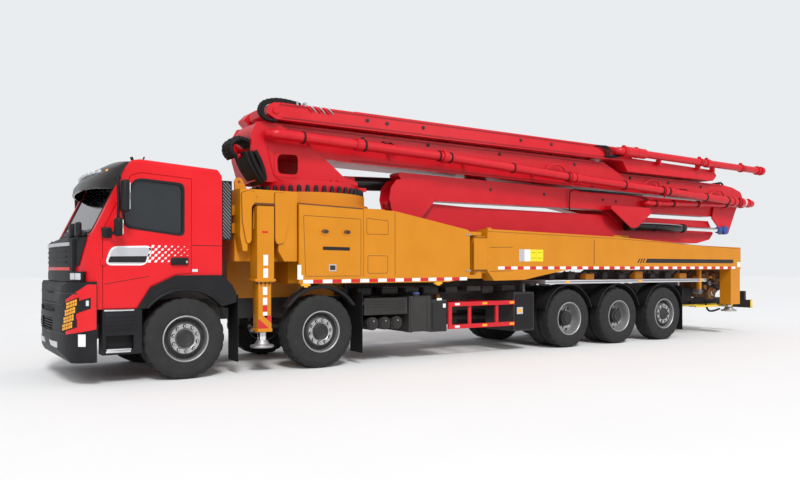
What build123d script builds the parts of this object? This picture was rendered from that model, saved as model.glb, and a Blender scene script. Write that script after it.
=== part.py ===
from build123d import *
import math
import os

# Five-axle concrete pump truck with a six-section folding placing boom.
# +X forward, +Y left, +Z up; origin on the ground below the middle of its box.
# Lengths are in millimetres. X values in the tables are measured from the
# front axle, which stands at front_axle_x.

front_axle_x = 6500

# Wheels and axles
tyre_radius = 535
tyre_bead_radius = 292
single_tyre_width = 385
dual_tyre_width = 310
dual_tyre_gap = 30
tyre_outer_y = 1235
rim_tyre_gap = 0.3
rim_radius = tyre_bead_radius - rim_tyre_gap
hub_bore = 62
stub_clearance = 0.3
king_pin_y = 760
king_pin_radius = 22
king_pin_clearance = 0.3
jaw_clearance = 0.3
eye_radius = 58
axle_eye_height = 120

# Chassis
rail_outer_y = 430
rail_thickness = 70
rail_bottom = 720
rail_top = 1020
rail_front = 1040
rail_rear = -11930
cross_member_length = 120

# Cab
cab_half_width = 1200
cab_wall = 45
roof_edge_radius = 60
mask_thickness = 45
glass_thickness = 8
door_gap = 6
door_hinge_x = 1045
door_hinge_y = cab_half_width + 12
bumper_half_width = cab_half_width + 38
intake_outer_y = cab_half_width - 10

# Body and outriggers
body_half_width = 1250
body_plate = 16
arm_clearance = 8
arm_seat_clearance = 0.3
front_arm_radius = 3647
front_arm_width = 240
front_arm_height = 300
front_arm_turn = 32
leg_side = 250
leg_wall = 20
rear_leg_wall = 25
leg_clearance = 0.3
leg_offset_y = 1120
front_leg_x = -1115
front_arm_centre_y = 400
front_arm_reach = math.sqrt(front_arm_radius**2 - (leg_offset_y + front_arm_centre_y) ** 2)
front_arm_centre = (front_leg_x + front_arm_reach, front_arm_centre_y)
rear_pin_x = -5000
rear_pin_y = 1095
rear_pin_radius = 45
rear_eye_radius = 115
rear_arm_inner_y = 955
rear_arm_outer_y = 1240

# Turret and boom
slew_axis_x = -2350
slew_ring_radius = 950
slew_ring_bottom = 2450
slew_ring_top = 2610
cheek_inner_y = 358
cheek_thickness = 62
boom_root = (-1500, 3480)
boom_root_radius = 232
boom_half_width = 350
boom_pin_radius = 60
pin_clearance = 0.3
delivery_pipe_radius = 82
return_pipe_y = 444
return_pipe_radius = 62
tip_pipe_radius = 78
boom_corner_radius = 40
pipe_y = 600
outlet_radius = 62
lift_cylinder_y = -130
lift_barrel_radius = 120
lift_rod_radius = 70
lift_base = (-3150, 2910)
lift_eye = (-6000, 3010)
lift_lug_gap = 6

os.makedirs("parts", exist_ok=True)


def fa(x):
    """Row-frame X of a place given from the front axle."""
    return front_axle_x + x


def block(x0, x1, y0, y1, z0, z1, mode=Mode.ADD):
    """Add a box between two corners, X from the front axle."""
    with Locations((fa((x0 + x1) / 2), (y0 + y1) / 2, (z0 + z1) / 2)):
        Box(abs(x1 - x0), abs(y1 - y0), abs(z1 - z0), mode=mode)


def plate(points, y0, y1, mode=Mode.ADD):
    """Add a plate with an X, Z outline between two Y values."""
    with BuildSketch(Plane.XZ.offset(-max(y0, y1))) as outline:
        with BuildLine():
            Polyline(*[(fa(x), z) for x, z in points], close=True)
        make_face()
    extrude(outline.sketch, amount=abs(y1 - y0), mode=mode)


def pin(x, z, y0, y1, radius, mode=Mode.ADD):
    """Add a round bar along Y."""
    with Locations(Location((fa(x), (y0 + y1) / 2, z), (90, 0, 0))):
        Cylinder(radius, abs(y1 - y0), mode=mode)


def post(x, y, z0, z1, radius, mode=Mode.ADD):
    """Add a round bar along Z."""
    with Locations((fa(x), y, (z0 + z1) / 2)):
        Cylinder(radius, abs(z1 - z0), mode=mode)


def bar(start, end, radius, mode=Mode.ADD):
    """Add a round bar between two X, Y, Z points."""
    a = Vector(fa(start[0]), start[1], start[2])
    b = Vector(fa(end[0]), end[1], end[2])
    with BuildSketch(Plane(origin=a, z_dir=b - a)) as section:
        Circle(radius)
    extrude(section.sketch, amount=(b - a).length, mode=mode)


def pipe(points, radius, bend):
    """Add a solid pipe through X, Y, Z points with round bends."""
    with BuildLine() as path:
        FilletPolyline(*[(fa(x), y, z) for x, y, z in points], radius=bend)
    with BuildSketch(Plane(origin=path.line @ 0, z_dir=path.line % 0)) as section:
        Circle(radius)
    sweep(section.sketch, path=path.line)


def save(made, name):
    """Label a finished piece and write it."""
    made.part.label = name
    export_step(made.part, "parts/" + name + ".step")


def ring(profile, x, z, side):
    """Revolve a radius, Y profile about an axle."""
    with BuildSketch(Plane.YZ.offset(fa(x))) as section:
        with BuildLine():
            Polyline(*[(side * y, z + r) for r, y in profile], close=True)
        make_face()
    revolve(section.sketch, axis=Axis((fa(x), 0, z), (0, 1, 0)))


sides = (("left", 1), ("right", -1))

# Axles: number, X, kind
axles = (
    (1, 0, "steered"),
    (2, -1995, "steered"),
    (3, -7130, "driven"),
    (4, -8500, "driven"),
    (5, -9885, "tag"),
)


def tyre_profile(y0, y1):
    """Radius, Y outline of a tyre between two sidewall planes."""
    return [
        (tyre_bead_radius, y0 + 45),
        (tyre_bead_radius + 40, y0 + 12),
        (tyre_radius - 120, y0),
        (tyre_radius - 35, y0 + 10),
        (tyre_radius, y0 + 45),
        (tyre_radius, y1 - 45),
        (tyre_radius - 35, y1 - 10),
        (tyre_radius - 120, y1),
        (tyre_bead_radius + 40, y1 - 12),
        (tyre_bead_radius, y1 - 45),
    ]


# Wheels
for number, axle_x, kind in axles:
    for side_name, side in sides:
        with BuildPart() as wheel:
            if kind == "driven":
                outer_inner_y = tyre_outer_y - dual_tyre_width
                inner_outer_y = outer_inner_y - dual_tyre_gap
                inner_inner_y = inner_outer_y - dual_tyre_width
                ring(tyre_profile(outer_inner_y, tyre_outer_y), axle_x, tyre_radius, side)
                ring(tyre_profile(inner_inner_y, inner_outer_y), axle_x, tyre_radius, side)
                disc_y = (outer_inner_y + inner_outer_y) / 2
                rim = [
                    (hub_bore, disc_y - 60),
                    (230, disc_y - 60),
                    (265, inner_inner_y + 60),
                    (rim_radius, inner_inner_y + 60),
                    (rim_radius, tyre_outer_y - 60),
                    (rim_radius - 22, tyre_outer_y - 50),
                    (260, disc_y + 60),
                    (210, disc_y + 20),
                    (130, disc_y + 20),
                    (120, tyre_outer_y - 70),
                    (90, tyre_outer_y - 50),
                    (0.5, tyre_outer_y - 50),
                    (0.5, tyre_outer_y - 80),
                    (hub_bore, tyre_outer_y - 80),
                ]
            else:
                inner_y = tyre_outer_y - single_tyre_width
                ring(tyre_profile(inner_y, tyre_outer_y), axle_x, tyre_radius, side)
                rim = [
                    (hub_bore, inner_y + 150),
                    (135, inner_y + 150),
                    (200, tyre_outer_y - 100),
                    (255, inner_y + 50),
                    (rim_radius, inner_y + 50),
                    (rim_radius, tyre_outer_y - 50),
                    (rim_radius - 22, tyre_outer_y - 40),
                    (250, tyre_outer_y - 70),
                    (235, tyre_outer_y - 85),
                    (165, tyre_outer_y - 30),
                    (120, tyre_outer_y - 30),
                    (110, tyre_outer_y + 5),
                    (0.5, tyre_outer_y + 12),
                    (0.5, tyre_outer_y - 30),
                    (hub_bore, tyre_outer_y - 30),
                ]
            ring(rim, axle_x, tyre_radius, side)
        save(wheel, f"wheel_{number}_{side_name}")

# Knuckles that turn the wheels of the two front axles
eye_bottom = tyre_radius - axle_eye_height / 2
eye_top = tyre_radius + axle_eye_height / 2
for number, axle_x, kind in axles:
    if kind != "steered":
        continue
    for side_name, side in sides:
        with BuildPart() as knuckle:
            jaw_top = eye_top + 40
            jaw_bottom = eye_bottom - 40
            post(axle_x, side * king_pin_y, eye_top + jaw_clearance, jaw_top, eye_radius)
            post(axle_x, side * king_pin_y, jaw_bottom, eye_bottom - jaw_clearance, eye_radius)
            post(axle_x, side * king_pin_y, jaw_bottom, jaw_top, king_pin_radius)
            block(axle_x - 40, axle_x + 40, side * (king_pin_y + 20), side * (king_pin_y + 84),
                  eye_top + jaw_clearance, jaw_top)
            block(axle_x - 40, axle_x + 40, side * (king_pin_y + 20), side * (king_pin_y + 84),
                  jaw_bottom, eye_bottom - jaw_clearance)
            block(axle_x - 40, axle_x + 40, side * (king_pin_y + 62), side * (king_pin_y + 84),
                  jaw_bottom, jaw_top)
            pin(axle_x, tyre_radius, side * (king_pin_y + 70), side * (tyre_outer_y - 40),
                hub_bore - stub_clearance)
        save(knuckle, f"knuckle_{number}_{side_name}")

# Front axles with their leaf springs
with BuildPart() as front_axles:
    for number, axle_x, kind in axles:
        if kind != "steered":
            continue
        block(axle_x - 55, axle_x + 55, -640, 640, 400, 500)
        for side_name, side in sides:
            block(axle_x - 45, axle_x + 45, side * 600, side * (king_pin_y - 10), eye_bottom, eye_top)
            post(axle_x, side * king_pin_y, eye_bottom, eye_top, eye_radius)
            block(axle_x - 45, axle_x + 45, side * 500, side * 640, 400, eye_bottom + 60)
            block(axle_x - 90, axle_x + 90, side * 365, side * 425, 500, 560)
            block(axle_x - 640, axle_x + 640, side * 365, side * 425, 560, 620)
            for end in (-1, 1):
                block(axle_x + end * 560, axle_x + end * 640, side * 365, side * 425, 620, rail_bottom)
        for side_name, side in sides:
            post(axle_x, side * king_pin_y, eye_bottom - 1, eye_top + 1,
                 king_pin_radius + king_pin_clearance, mode=Mode.SUBTRACT)
save(front_axles, "front_axles")

# Rear axles with housings and springs
with BuildPart() as rear_axles:
    for number, axle_x, kind in axles:
        if kind == "steered":
            continue
        housing = 85 if kind == "driven" else 70
        reach = 560 if kind == "driven" else 820
        pin(axle_x, tyre_radius, -reach, reach, housing)
        pin(axle_x, tyre_radius, -(tyre_outer_y - 90), tyre_outer_y - 90, hub_bore - stub_clearance)
        if kind == "driven":
            with Locations((fa(axle_x), 0, tyre_radius)):
                Sphere(200)
        for side_name, side in sides:
            block(axle_x - 80, axle_x + 80, side * 340, side * 430, tyre_radius, rail_bottom)
save(rear_axles, "rear_axles")

# Chassis frame: two rails and cross members
cross_members = (900, -1000, -2900, -4200, -5800, -7815, -9200, -10900, -11800)
with BuildPart() as chassis_frame:
    for side_name, side in sides:
        block(rail_rear, rail_front, side * (rail_outer_y - rail_thickness), side * rail_outer_y,
              rail_bottom, rail_top)
    for x in cross_members:
        block(x - cross_member_length / 2, x + cross_member_length / 2, -rail_outer_y + 10,
              rail_outer_y - 10, rail_bottom + 40, rail_top - 100)
    block(540, 1100, -500, 500, 940, rail_top + 5, mode=Mode.SUBTRACT)
save(chassis_frame, "chassis_frame")

with BuildPart() as engine:
    block(-780, 420, -rail_outer_y + rail_thickness, rail_outer_y - rail_thickness, 640, 1190)
save(engine, "engine")

# Cab: outline in X, Z, hollowed, with door and window openings
cab_outline = [
    (1370, 1295),
    (1100, 1295),
    (1100, 950),
    (620, 950),
    (450, 1220),
    (130, 1370),
    (-500, 1370),
    (-500, 2700),
    (-440, 2800),
    (560, 2860),
    (680, 2832),
    (745, 2745),
    (1175, 1850),
    (1330, 1770),
    (1370, 1700),
]
cab_cavity = [
    (1325, 1345),
    (1050, 1345),
    (1050, 995),
    (645, 995),
    (480, 1262),
    (142, 1415),
    (-455, 1415),
    (-455, 2680),
    (-415, 2756),
    (560, 2815),
    (652, 2792),
    (705, 2720),
    (1138, 1822),
    (1298, 1738),
    (1325, 1690),
]
door_outline = [
    (1030, 960),
    (625, 960),
    (455, 1232),
    (135, 1384),
    (-75, 1400),
    (-80, 2640),
    (560, 2680),
    (690, 2640),
    (985, 2030),
    (1030, 1930),
]
window_outline = [
    (760, 1990),
    (30, 1900),
    (30, 2560),
    (560, 2590),
    (640, 2570),
    (800, 2300),
]


def outline_cut(points, amount, y0, y1):
    """Cut an X, Z outline, grown by an amount, between two Y values."""
    with BuildSketch(Plane.XZ.offset(-max(y0, y1))) as sketch:
        with BuildLine():
            Polyline(*[(fa(x), z) for x, z in points], close=True)
        make_face()
        offset(amount=amount, kind=Kind.INTERSECTION)
    extrude(sketch.sketch, amount=abs(y1 - y0), mode=Mode.SUBTRACT)


def crowned(points, shift, mode=Mode.INTERSECT):
    """Keep what lies behind a curved front, given as X, Y points for one side and moved forward by shift."""
    half = [(fa(x + shift), y) for x, y in points]
    other = [(x, -y) for x, y in reversed(half[:-1])]
    rear = fa(-700)
    with BuildSketch(Plane.XY) as plan:
        with BuildLine():
            Spline(*half, *other)
            Polyline(other[-1], (rear, other[-1][1]), (rear, half[0][1]), half[0])
        make_face()
    extrude(plan.sketch, amount=3300, mode=mode)


cab_plan = [(1110, cab_half_width), (1200, 1115), (1285, 905), (1345, 500), (1370, 0)]
screen_low = Vector(fa(1175), 0, 1850)
screen_high = Vector(fa(745), 0, 2745)
screen_up = (screen_high - screen_low).normalized()
screen_out = Vector(screen_up.Z, 0, -screen_up.X)
screen_plane = Plane(origin=(screen_low + screen_high) * 0.5, x_dir=(0, 1, 0), z_dir=screen_out)
screen_height = (screen_high - screen_low).length - 170
screen_width = 2 * cab_half_width - 300

with BuildPart() as cab_body:
    plate(cab_outline, -cab_half_width, cab_half_width)
    crowned(cab_plan, 0)
    fillet(
        cab_body.edges().filter_by(lambda e: e.center().Z > 2790 and abs(abs(e.center().Y) - cab_half_width) < 1
                                   and e.length > 500),
        radius=roof_edge_radius,
    )

with BuildPart() as cab_room:
    plate(cab_cavity, -(cab_half_width - cab_wall), cab_half_width - cab_wall)
    crowned([(x, y - cab_wall) if y > 0 else (x, y) for x, y in cab_plan], -cab_wall)

with BuildPart() as cab_shell:
    add(cab_body.part)
    add(cab_room.part, mode=Mode.SUBTRACT)
    for side_name, side in sides:
        outline_cut(door_outline, door_gap, side * (cab_half_width - cab_wall - 5),
                    side * (cab_half_width + 5))
    with BuildSketch(screen_plane.offset(20)) as screen_hole:
        Rectangle(screen_width, screen_height)
        fillet(screen_hole.vertices(), 60)
    extrude(screen_hole.sketch, amount=-90, mode=Mode.SUBTRACT)
save(cab_shell, "cab_shell")

with BuildPart() as windscreen:
    with BuildSketch(screen_plane.offset(-10)) as screen_glass:
        Rectangle(screen_width, screen_height)
        fillet(screen_glass.vertices(), 60)
    extrude(screen_glass.sketch, amount=-glass_thickness)
save(windscreen, "windscreen")

# Doors with their glass, hinged at the front
for side_name, side in sides:
    with BuildPart() as door:
        plate(door_outline, side * (cab_half_width - cab_wall), side * cab_half_width)
        plate(window_outline, side * (cab_half_width - cab_wall - 5), side * (cab_half_width + 5),
              mode=Mode.SUBTRACT)
        block(-20, 110, side * cab_half_width, side * (cab_half_width + 28), 1560, 1600)
        for z in (1500, 1840):
            post(door_hinge_x, side * door_hinge_y, z, z + 80, 11)
            block(1000, door_hinge_x, side * (cab_half_width + 4), side * (door_hinge_y + 8), z, z + 80)
            block(1000, 1028, side * (cab_half_width - 5), side * (cab_half_width + 6), z, z + 80)
    save(door, f"cab_door_{side_name}")
    with BuildPart() as door_glass:
        plate(window_outline, side * (cab_half_width - 30), side * (cab_half_width - 30 + glass_thickness))
    save(door_glass, f"door_glass_{side_name}")

# Seats, dashboard and steering wheel
with BuildPart() as cab_interior:
    plate([(1330, 1345), (1330, 1740), (1150, 1790), (1050, 1790), (960, 1700), (1000, 1345)],
          -(cab_half_width - cab_wall), cab_half_width - cab_wall)
    add(cab_room.part, mode=Mode.INTERSECT)
    for y in (-620, 620):
        block(-50, 150, y - 150, y + 150, 1415, 1640)
        block(-150, 380, y - 250, y + 250, 1640, 1790)
        block(-260, -120, y - 240, y + 240, 1700, 2380)
        block(-250, -140, y - 130, y + 130, 2375, 2560)
    with BuildSketch(Plane(origin=(fa(760), 620, 1860), x_dir=(0, 1, 0), z_dir=(0.45, 0, -0.9))) as wheel_path:
        Circle(225)
        Circle(190, mode=Mode.SUBTRACT)
        Rectangle(420, 40)
    extrude(wheel_path.sketch, amount=25)
    bar((770, 620, 1845), (1030, 620, 1600), 28)
save(cab_interior, "cab_interior")

# Smoked sun visor above the windscreen, on two brackets
with BuildPart() as sun_visor:
    plate([(636, 2876), (640, 2892), (905, 2762), (1110, 2545), (1110, 2490), (1092, 2490), (1092, 2536),
           (895, 2746)], -1140, 1140)
    crowned([(760, 1140), (900, 1075), (1020, 850), (1085, 500), (1110, 0)], 0)
    for y in (-900, 0, 900):
        plate([(560, 2860), (680, 2832), (690, 2860), (645, 2886)], y - 15, y + 15)
save(sun_visor, "sun_visor")

# Grille panel below the windscreen
with BuildPart() as front_mask:
    plate([(1150, 1300), (1425, 1300), (1425, 1690), (1375, 1800), (1180, 1895), (1150, 1870)], -900, 900)
    crowned(cab_plan, mask_thickness)
    add(cab_body.part, mode=Mode.SUBTRACT)
save(front_mask, "front_mask")

# Bumper with its lamp corners
bumper_outline = [
    (1105, 300),
    (1370, 290),
    (1460, 420),
    (1495, 560),
    (1500, 900),
    (1455, 1030),
    (1440, 1240),
    (1400, 1290),
    (1105, 1290),
]
bumper_plan = [(1106, bumper_half_width), (1270, 1175), (1390, 1000), (1455, 700), (1490, 350), (1500, 0)]
with BuildPart() as bumper:
    plate(bumper_outline, -bumper_half_width, bumper_half_width)
    crowned(bumper_plan, 0)
    block(1100, 1330, -960, 960, 250, 1285, mode=Mode.SUBTRACT)
    block(1100, 1220, -1090, 1090, 250, 1285, mode=Mode.SUBTRACT)
    block(1380, 1540, -420, 420, 640, 820, mode=Mode.SUBTRACT)
    block(1405, 1540, -520, 520, 905, 960, mode=Mode.SUBTRACT)
    for side_name, side in sides:
        block(rail_front, 1400, side * (rail_outer_y - rail_thickness), side * rail_outer_y, 780, 930)
        block(1100, 1400, side * 1090, side * 1120, 780, 960)
save(bumper, "bumper")

# Mirrors on arms at the doors
for side_name, side in sides:
    with BuildPart() as mirror:
        mirror_y = side * (cab_half_width + 160)
        for foot_x, foot_z, arm_x, arm_z in ((690, 2560, 800, 2610), (960, 1880, 905, 1850)):
            block(foot_x - 25, foot_x + 25, side * cab_half_width, side * (cab_half_width + 24),
                  foot_z - 25, foot_z + 25)
            bar((foot_x, side * (cab_half_width + 12), foot_z), (arm_x, mirror_y, arm_z), 16)
        bar((800, mirror_y, 2610), (905, mirror_y, 1850), 16)
        block(770, 862, side * (cab_half_width + 112), side * (cab_half_width + 290), 2150, 2560)
        block(848, 936, side * (cab_half_width + 112), side * (cab_half_width + 285), 1850, 2090)
    save(mirror, f"mirror_{side_name}")

# Steps below the doors, wheel mudguards and flaps
wheel_sweep_radius = 730
with BuildPart() as cab_steps:
    for side_name, side in sides:
        block(560, 1040, side * (cab_half_width - 200), side * (cab_half_width + 25), 380, 945)
        for z in (440, 700):
            block(665, 1000, side * (cab_half_width - 80), side * (cab_half_width + 30), z, z + 180,
                  mode=Mode.SUBTRACT)
        post(0, side * king_pin_y, 370, 950, wheel_sweep_radius, mode=Mode.SUBTRACT)
        block(900, 1040, side * rail_outer_y, side * (cab_half_width - 200), 860, 940)
save(cab_steps, "cab_steps")

arch_radius = 640
arch_inner_y = 1100
arch_outer_y = 1232
cab_arch_outline = [
    (620, 950),
    (450, 1220),
    (130, 1370),
    (-500, 1370),
    (-640, 1230),
    (-700, 1100),
    (-690, 1000),
    (-500, 948),
    (500, 948),
]
with BuildPart() as cab_arches:
    for side_name, side in sides:
        plate(cab_arch_outline, side * arch_inner_y, side * arch_outer_y)
    pin(0, tyre_radius, -arch_outer_y - 5, arch_outer_y + 5, arch_radius, mode=Mode.SUBTRACT)
with BuildPart() as second_arches:
    for side_name, side in sides:
        pin(-1995, tyre_radius, side * arch_inner_y, side * arch_outer_y, arch_radius + 45)
    pin(-1995, tyre_radius, -arch_outer_y - 5, arch_outer_y + 5, arch_radius, mode=Mode.SUBTRACT)
    block(-1200, -2790, -arch_outer_y - 5, arch_outer_y + 5, -200, 905, mode=Mode.SUBTRACT)
    for side_name, side in sides:
        block(-2015, -1975, side * 860, side * (arch_inner_y + 5), 1200, 1240)
with BuildPart() as mudguards:
    add(cab_arches.part)
    add(second_arches.part)
    for side_name, side in sides:
        for x in (-715, -2690, -10480):
            top = 1100
            block(x - 8, x, side * 860, side * 1225, 180, top)
            block(x - 38, x - 8, side * rail_outer_y, side * 1225, 900, 960)
save(mudguards, "mudguards")

# Outrigger housings, turret pedestal and side panels
housing_front = -760
housing_rear = -1620
housing_bottom = 1560
housing_top = 2560
portal_outer_y = 1200
housing_side_y = 985
pedestal_half_width = 900
pedestal_bottom = 1240
front_arm_level = {1: 2010, -1: 1660}


def front_arm_angle(side):
    """Angle of the leg seen from the arm's arc centre, in degrees."""
    cx, cy = front_arm_centre
    leg_x = front_leg_x
    return math.degrees(math.atan2(leg_offset_y + cy, leg_x - cx))


def arc_sector(side, radius_in, radius_out, start, end, z0, z1, mode):
    """Add or cut a sector around a front arm's arc centre."""
    cx, cy = front_arm_centre
    steps = 8
    angles = [math.radians(start + (end - start) * i / steps) for i in range(steps + 1)]

    def place(radius, angle):
        return (fa(cx + radius * math.cos(angle)), side * (-cy + radius * math.sin(angle)))

    middle = (angles[0] + angles[-1]) / 2
    with BuildSketch(Plane.XY.offset(z0)) as sector:
        with BuildLine():
            ThreePointArc(place(radius_out, angles[0]), place(radius_out, middle), place(radius_out, angles[-1]))
            Line(place(radius_out, angles[-1]), place(radius_in, angles[-1]))
            ThreePointArc(place(radius_in, angles[-1]), place(radius_in, middle), place(radius_in, angles[0]))
            Line(place(radius_in, angles[0]), place(radius_out, angles[0]))
        make_face()
    extrude(sector.sketch, amount=z1 - z0, mode=mode)


front_leg_angle = front_arm_angle(1)
front_radius_in = front_arm_radius - front_arm_width / 2
front_radius_out = front_arm_radius + front_arm_width / 2

with BuildPart() as body_box:
    block(housing_front, housing_rear, -housing_side_y, housing_side_y, housing_bottom, housing_top)
    block(housing_front - body_plate, housing_rear + body_plate, -housing_side_y + body_plate,
          housing_side_y - body_plate, housing_bottom + body_plate, housing_top - body_plate,
          mode=Mode.SUBTRACT)
    for side_name, side in sides:
        level = front_arm_level[side]
        arc_sector(side, front_radius_in - arm_clearance, front_radius_out + arm_clearance,
                   front_leg_angle - 32, front_leg_angle + front_arm_turn + 22,
                   level - arm_seat_clearance, level + front_arm_height + arm_clearance, Mode.SUBTRACT)
    block(housing_rear, -3300, -pedestal_half_width, pedestal_half_width, pedestal_bottom, 2400)
    block(housing_rear - 30, -3270, -pedestal_half_width + 30, pedestal_half_width - 30,
          pedestal_bottom + 30, 2370, mode=Mode.SUBTRACT)
    block(housing_front - 100, housing_rear, -rail_outer_y, rail_outer_y, rail_top, housing_bottom)
    block(housing_rear, -3300, -rail_outer_y, rail_outer_y, rail_top, pedestal_bottom)
    post(slew_axis_x, 0, 2400, slew_ring_bottom, slew_ring_radius + 60)
    post(slew_axis_x, 0, slew_ring_bottom, slew_ring_top, slew_ring_radius)
    post(slew_axis_x, 0, 2380, slew_ring_top + 5, slew_ring_radius - 120, mode=Mode.SUBTRACT)
    for side_name, side in sides:
        block(housing_front, housing_rear, side * (housing_side_y - 10), side * portal_outer_y, 2345, housing_top)
        plate([(housing_front, housing_top), (housing_front, 1900), (-800, 1700), (-865, 1700),
               (-865, housing_top)], side * (housing_side_y - 10), side * portal_outer_y)
        plate([(-1330, housing_top), (-1330, 1700), (-1420, housing_bottom), (housing_rear, housing_bottom),
               (housing_rear, housing_top)], side * (housing_side_y - 10), side * portal_outer_y)
        plate([(-770, 2550), (-765, 2680), (-790, 2725), (-830, 2738), (-872, 2722), (-895, 2680),
               (-960, 2550)], side * 940, side * 980)
        pin(-828, 2672, side * 930, side * 990, 22, mode=Mode.SUBTRACT)
save(body_box, "body_box")

# Side panels of the body with the rear outrigger hinge lugs
panel_outline = [
    (-1630, 1240),
    (-1630, 2400),
    (-3270, 2350),
    (-4720, 2100),
    (-4760, 2070),
    (-4760, 1300),
    (-4300, 1240),
]
lug_levels = (1290, 2015)
lug_thickness = 60
for side_name, side in sides:
    with BuildPart() as side_panel:
        plate(panel_outline, side * (body_half_width - 40), side * body_half_width)
        plate([(-1630, 2400 - 30), (-1630, 2400), (-3270, 2350), (-4720, 2100), (-4720, 2070), (-3270, 2320)],
              side * pedestal_half_width, side * (body_half_width - 40))
        block(-4700, -4760, side * rail_outer_y, side * (body_half_width - 40), 1300, 2100)
        block(-4640, -4700, side * rail_outer_y, side * (rail_outer_y + 60), rail_top - 200, 1300)
        block(-4640, -4700, side * rail_outer_y, side * (rail_outer_y + 60), 1300, 1400)
        for z in lug_levels:
            block(-4700, rear_pin_x, side * (rear_pin_y - rear_eye_radius), side * (rear_pin_y + rear_eye_radius),
                  z, z + lug_thickness)
            post(rear_pin_x, side * rear_pin_y, z, z + lug_thickness, rear_eye_radius)
        post(rear_pin_x, side * rear_pin_y, lug_levels[0], lug_levels[1] + lug_thickness, rear_pin_radius)
    save(side_panel, f"side_panel_{side_name}")

# Front outrigger arms: arc boxes that turn about their arc's centre, with the leg's outer tube
for side_name, side in sides:
    level = front_arm_level[side]
    with BuildPart() as front_arm:
        arc_sector(side, front_radius_in, front_radius_out, front_leg_angle - 1,
                   front_leg_angle + front_arm_turn, level, level + front_arm_height, Mode.ADD)
        arc_sector(side, front_radius_in + leg_wall, front_radius_out - leg_wall, front_leg_angle + 3,
                   front_leg_angle + front_arm_turn + 1, level + leg_wall,
                   level + front_arm_height - leg_wall, Mode.SUBTRACT)
        leg_x = front_leg_x
        leg_out = side * (leg_offset_y + leg_side / 2)
        leg_in = side * (leg_offset_y - leg_side / 2)
        block(leg_x - leg_side / 2, leg_x + leg_side / 2, leg_in, leg_out, 1270, 2330)
        block(leg_x - leg_side / 2 + leg_wall, leg_x + leg_side / 2 - leg_wall, leg_in + side * leg_wall,
              leg_out - side * leg_wall, 1200, 2300, mode=Mode.SUBTRACT)
    save(front_arm, f"front_outrigger_{side_name}")

# Rear outrigger beams on upright pins, with the leg's outer tube at the end
beam_outline = [
    (-5150, 1420),
    (-5150, 2000),
    (-5160, 2130),
    (-8500, 2070),
    (-11060, 1950),
    (-12570, 1930),
    (-12570, 1440),
    (-7100, 1440),
    (-6400, 1330),
    (-6000, 1260),
    (-5300, 1250),
]
rear_leg_x = -12375
for side_name, side in sides:
    with BuildPart() as rear_arm:
        plate(beam_outline, side * rear_arm_inner_y, side * rear_arm_outer_y)
        plate([(-5300, 1460), (-5300, 2000), (-8500, 1960), (-12100, 1830), (-12100, 1500), (-7000, 1500)],
              side * (rear_arm_inner_y + 20), side * (rear_arm_outer_y - 20), mode=Mode.SUBTRACT)
        eye_low = lug_levels[0] + lug_thickness + pin_clearance
        eye_high = lug_levels[1] - 6
        block(rear_pin_x, -5160, side * (rear_pin_y - 90), side * (rear_pin_y + 90), eye_low + 30, eye_high)
        post(rear_pin_x, side * rear_pin_y, eye_low, eye_high, rear_eye_radius)
        post(rear_pin_x, side * rear_pin_y, eye_low - 5, eye_high + 5, rear_pin_radius + pin_clearance,
             mode=Mode.SUBTRACT)
        leg_in = side * (rear_arm_inner_y + 10)
        leg_out = side * (rear_arm_outer_y - 5)
        block(rear_leg_x - 175, rear_leg_x + 175, leg_in, leg_out, 660, 1500)
        block(rear_leg_x - 175 + rear_leg_wall, rear_leg_x + 175 - rear_leg_wall, leg_in + side * rear_leg_wall,
              leg_out - side * rear_leg_wall, 600, 1850,
              mode=Mode.SUBTRACT)
    save(rear_arm, f"rear_outrigger_{side_name}")

# Outrigger legs that slide down out of their outer tubes
leg_pad_thickness = 60
for place, x, y, half_x, half_y, wall, pad_z, pad_x, pad_y, top in (
    ("front", housing_front - 355, leg_offset_y, leg_side / 2, leg_side / 2, leg_wall, 350, 165, 125, 2290),
    ("rear", rear_leg_x, (rear_arm_inner_y + rear_arm_outer_y + 5) / 2, 175, 135, rear_leg_wall, 500, 325, 150, 1840),
):
    for side_name, side in sides:
        with BuildPart() as leg:
            inset_x = half_x - wall - leg_clearance
            inset_y = half_y - wall - leg_clearance
            block(x - inset_x, x + inset_x, side * (y - inset_y), side * (y + inset_y),
                  pad_z + leg_pad_thickness, top)
            block(x - pad_x, x + pad_x, side * (y - min(pad_y, inset_y + 40)), side * (y + pad_y - 5),
                  pad_z, pad_z + leg_pad_thickness)
            post(x, side * y, pad_z + leg_pad_thickness, pad_z + leg_pad_thickness + 70, 85)
        save(leg, f"{place}_leg_{side_name}")

# Boxes and tanks on the chassis sides
with BuildPart() as chassis_boxes:
    for side_name, side in sides:
        block(-500, -640, side * (intake_outer_y - 200), side * intake_outer_y, 1850, 2650)
        inner = side * rail_outer_y
        outer = side * 1190
        for x in (-2900, -3120, -3340):
            pin(x, 610, side * 560, outer, 100)
            block(x - 20, x + 20, inner, side * 600, 700, 740)
            block(x - 20, x + 20, side * 560, side * 600, 600, 740)
        block(-2750, -3540, inner, outer, 745, 1000)
        block(-3570, -4000, inner, outer, 450, 1010)
        post(-3780, side * 1080, 1010, 1050, 60)
        block(-4010, -4320, inner, outer, 430, 950)
        block(-5790, -6270, inner, outer, 360, 1040)
save(chassis_boxes, "chassis_boxes")

# Side guard rails
with BuildPart() as side_guards:
    for side_name, side in sides:
        y = side * 1215
        for z in (500, 870):
            block(-4330, -5780, y - 15, y + 15, z - 35, z + 35)
        block(-4330, -4400, y - 15, y + 15, 500, 870)
        for x in (-4800, -5400):
            block(x - 30, x + 30, side * 1200, side * 1170, 500, 870)
            block(x - 30, x + 30, side * rail_outer_y, side * 1200, 840, 900)
save(side_guards, "side_guards")

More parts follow.
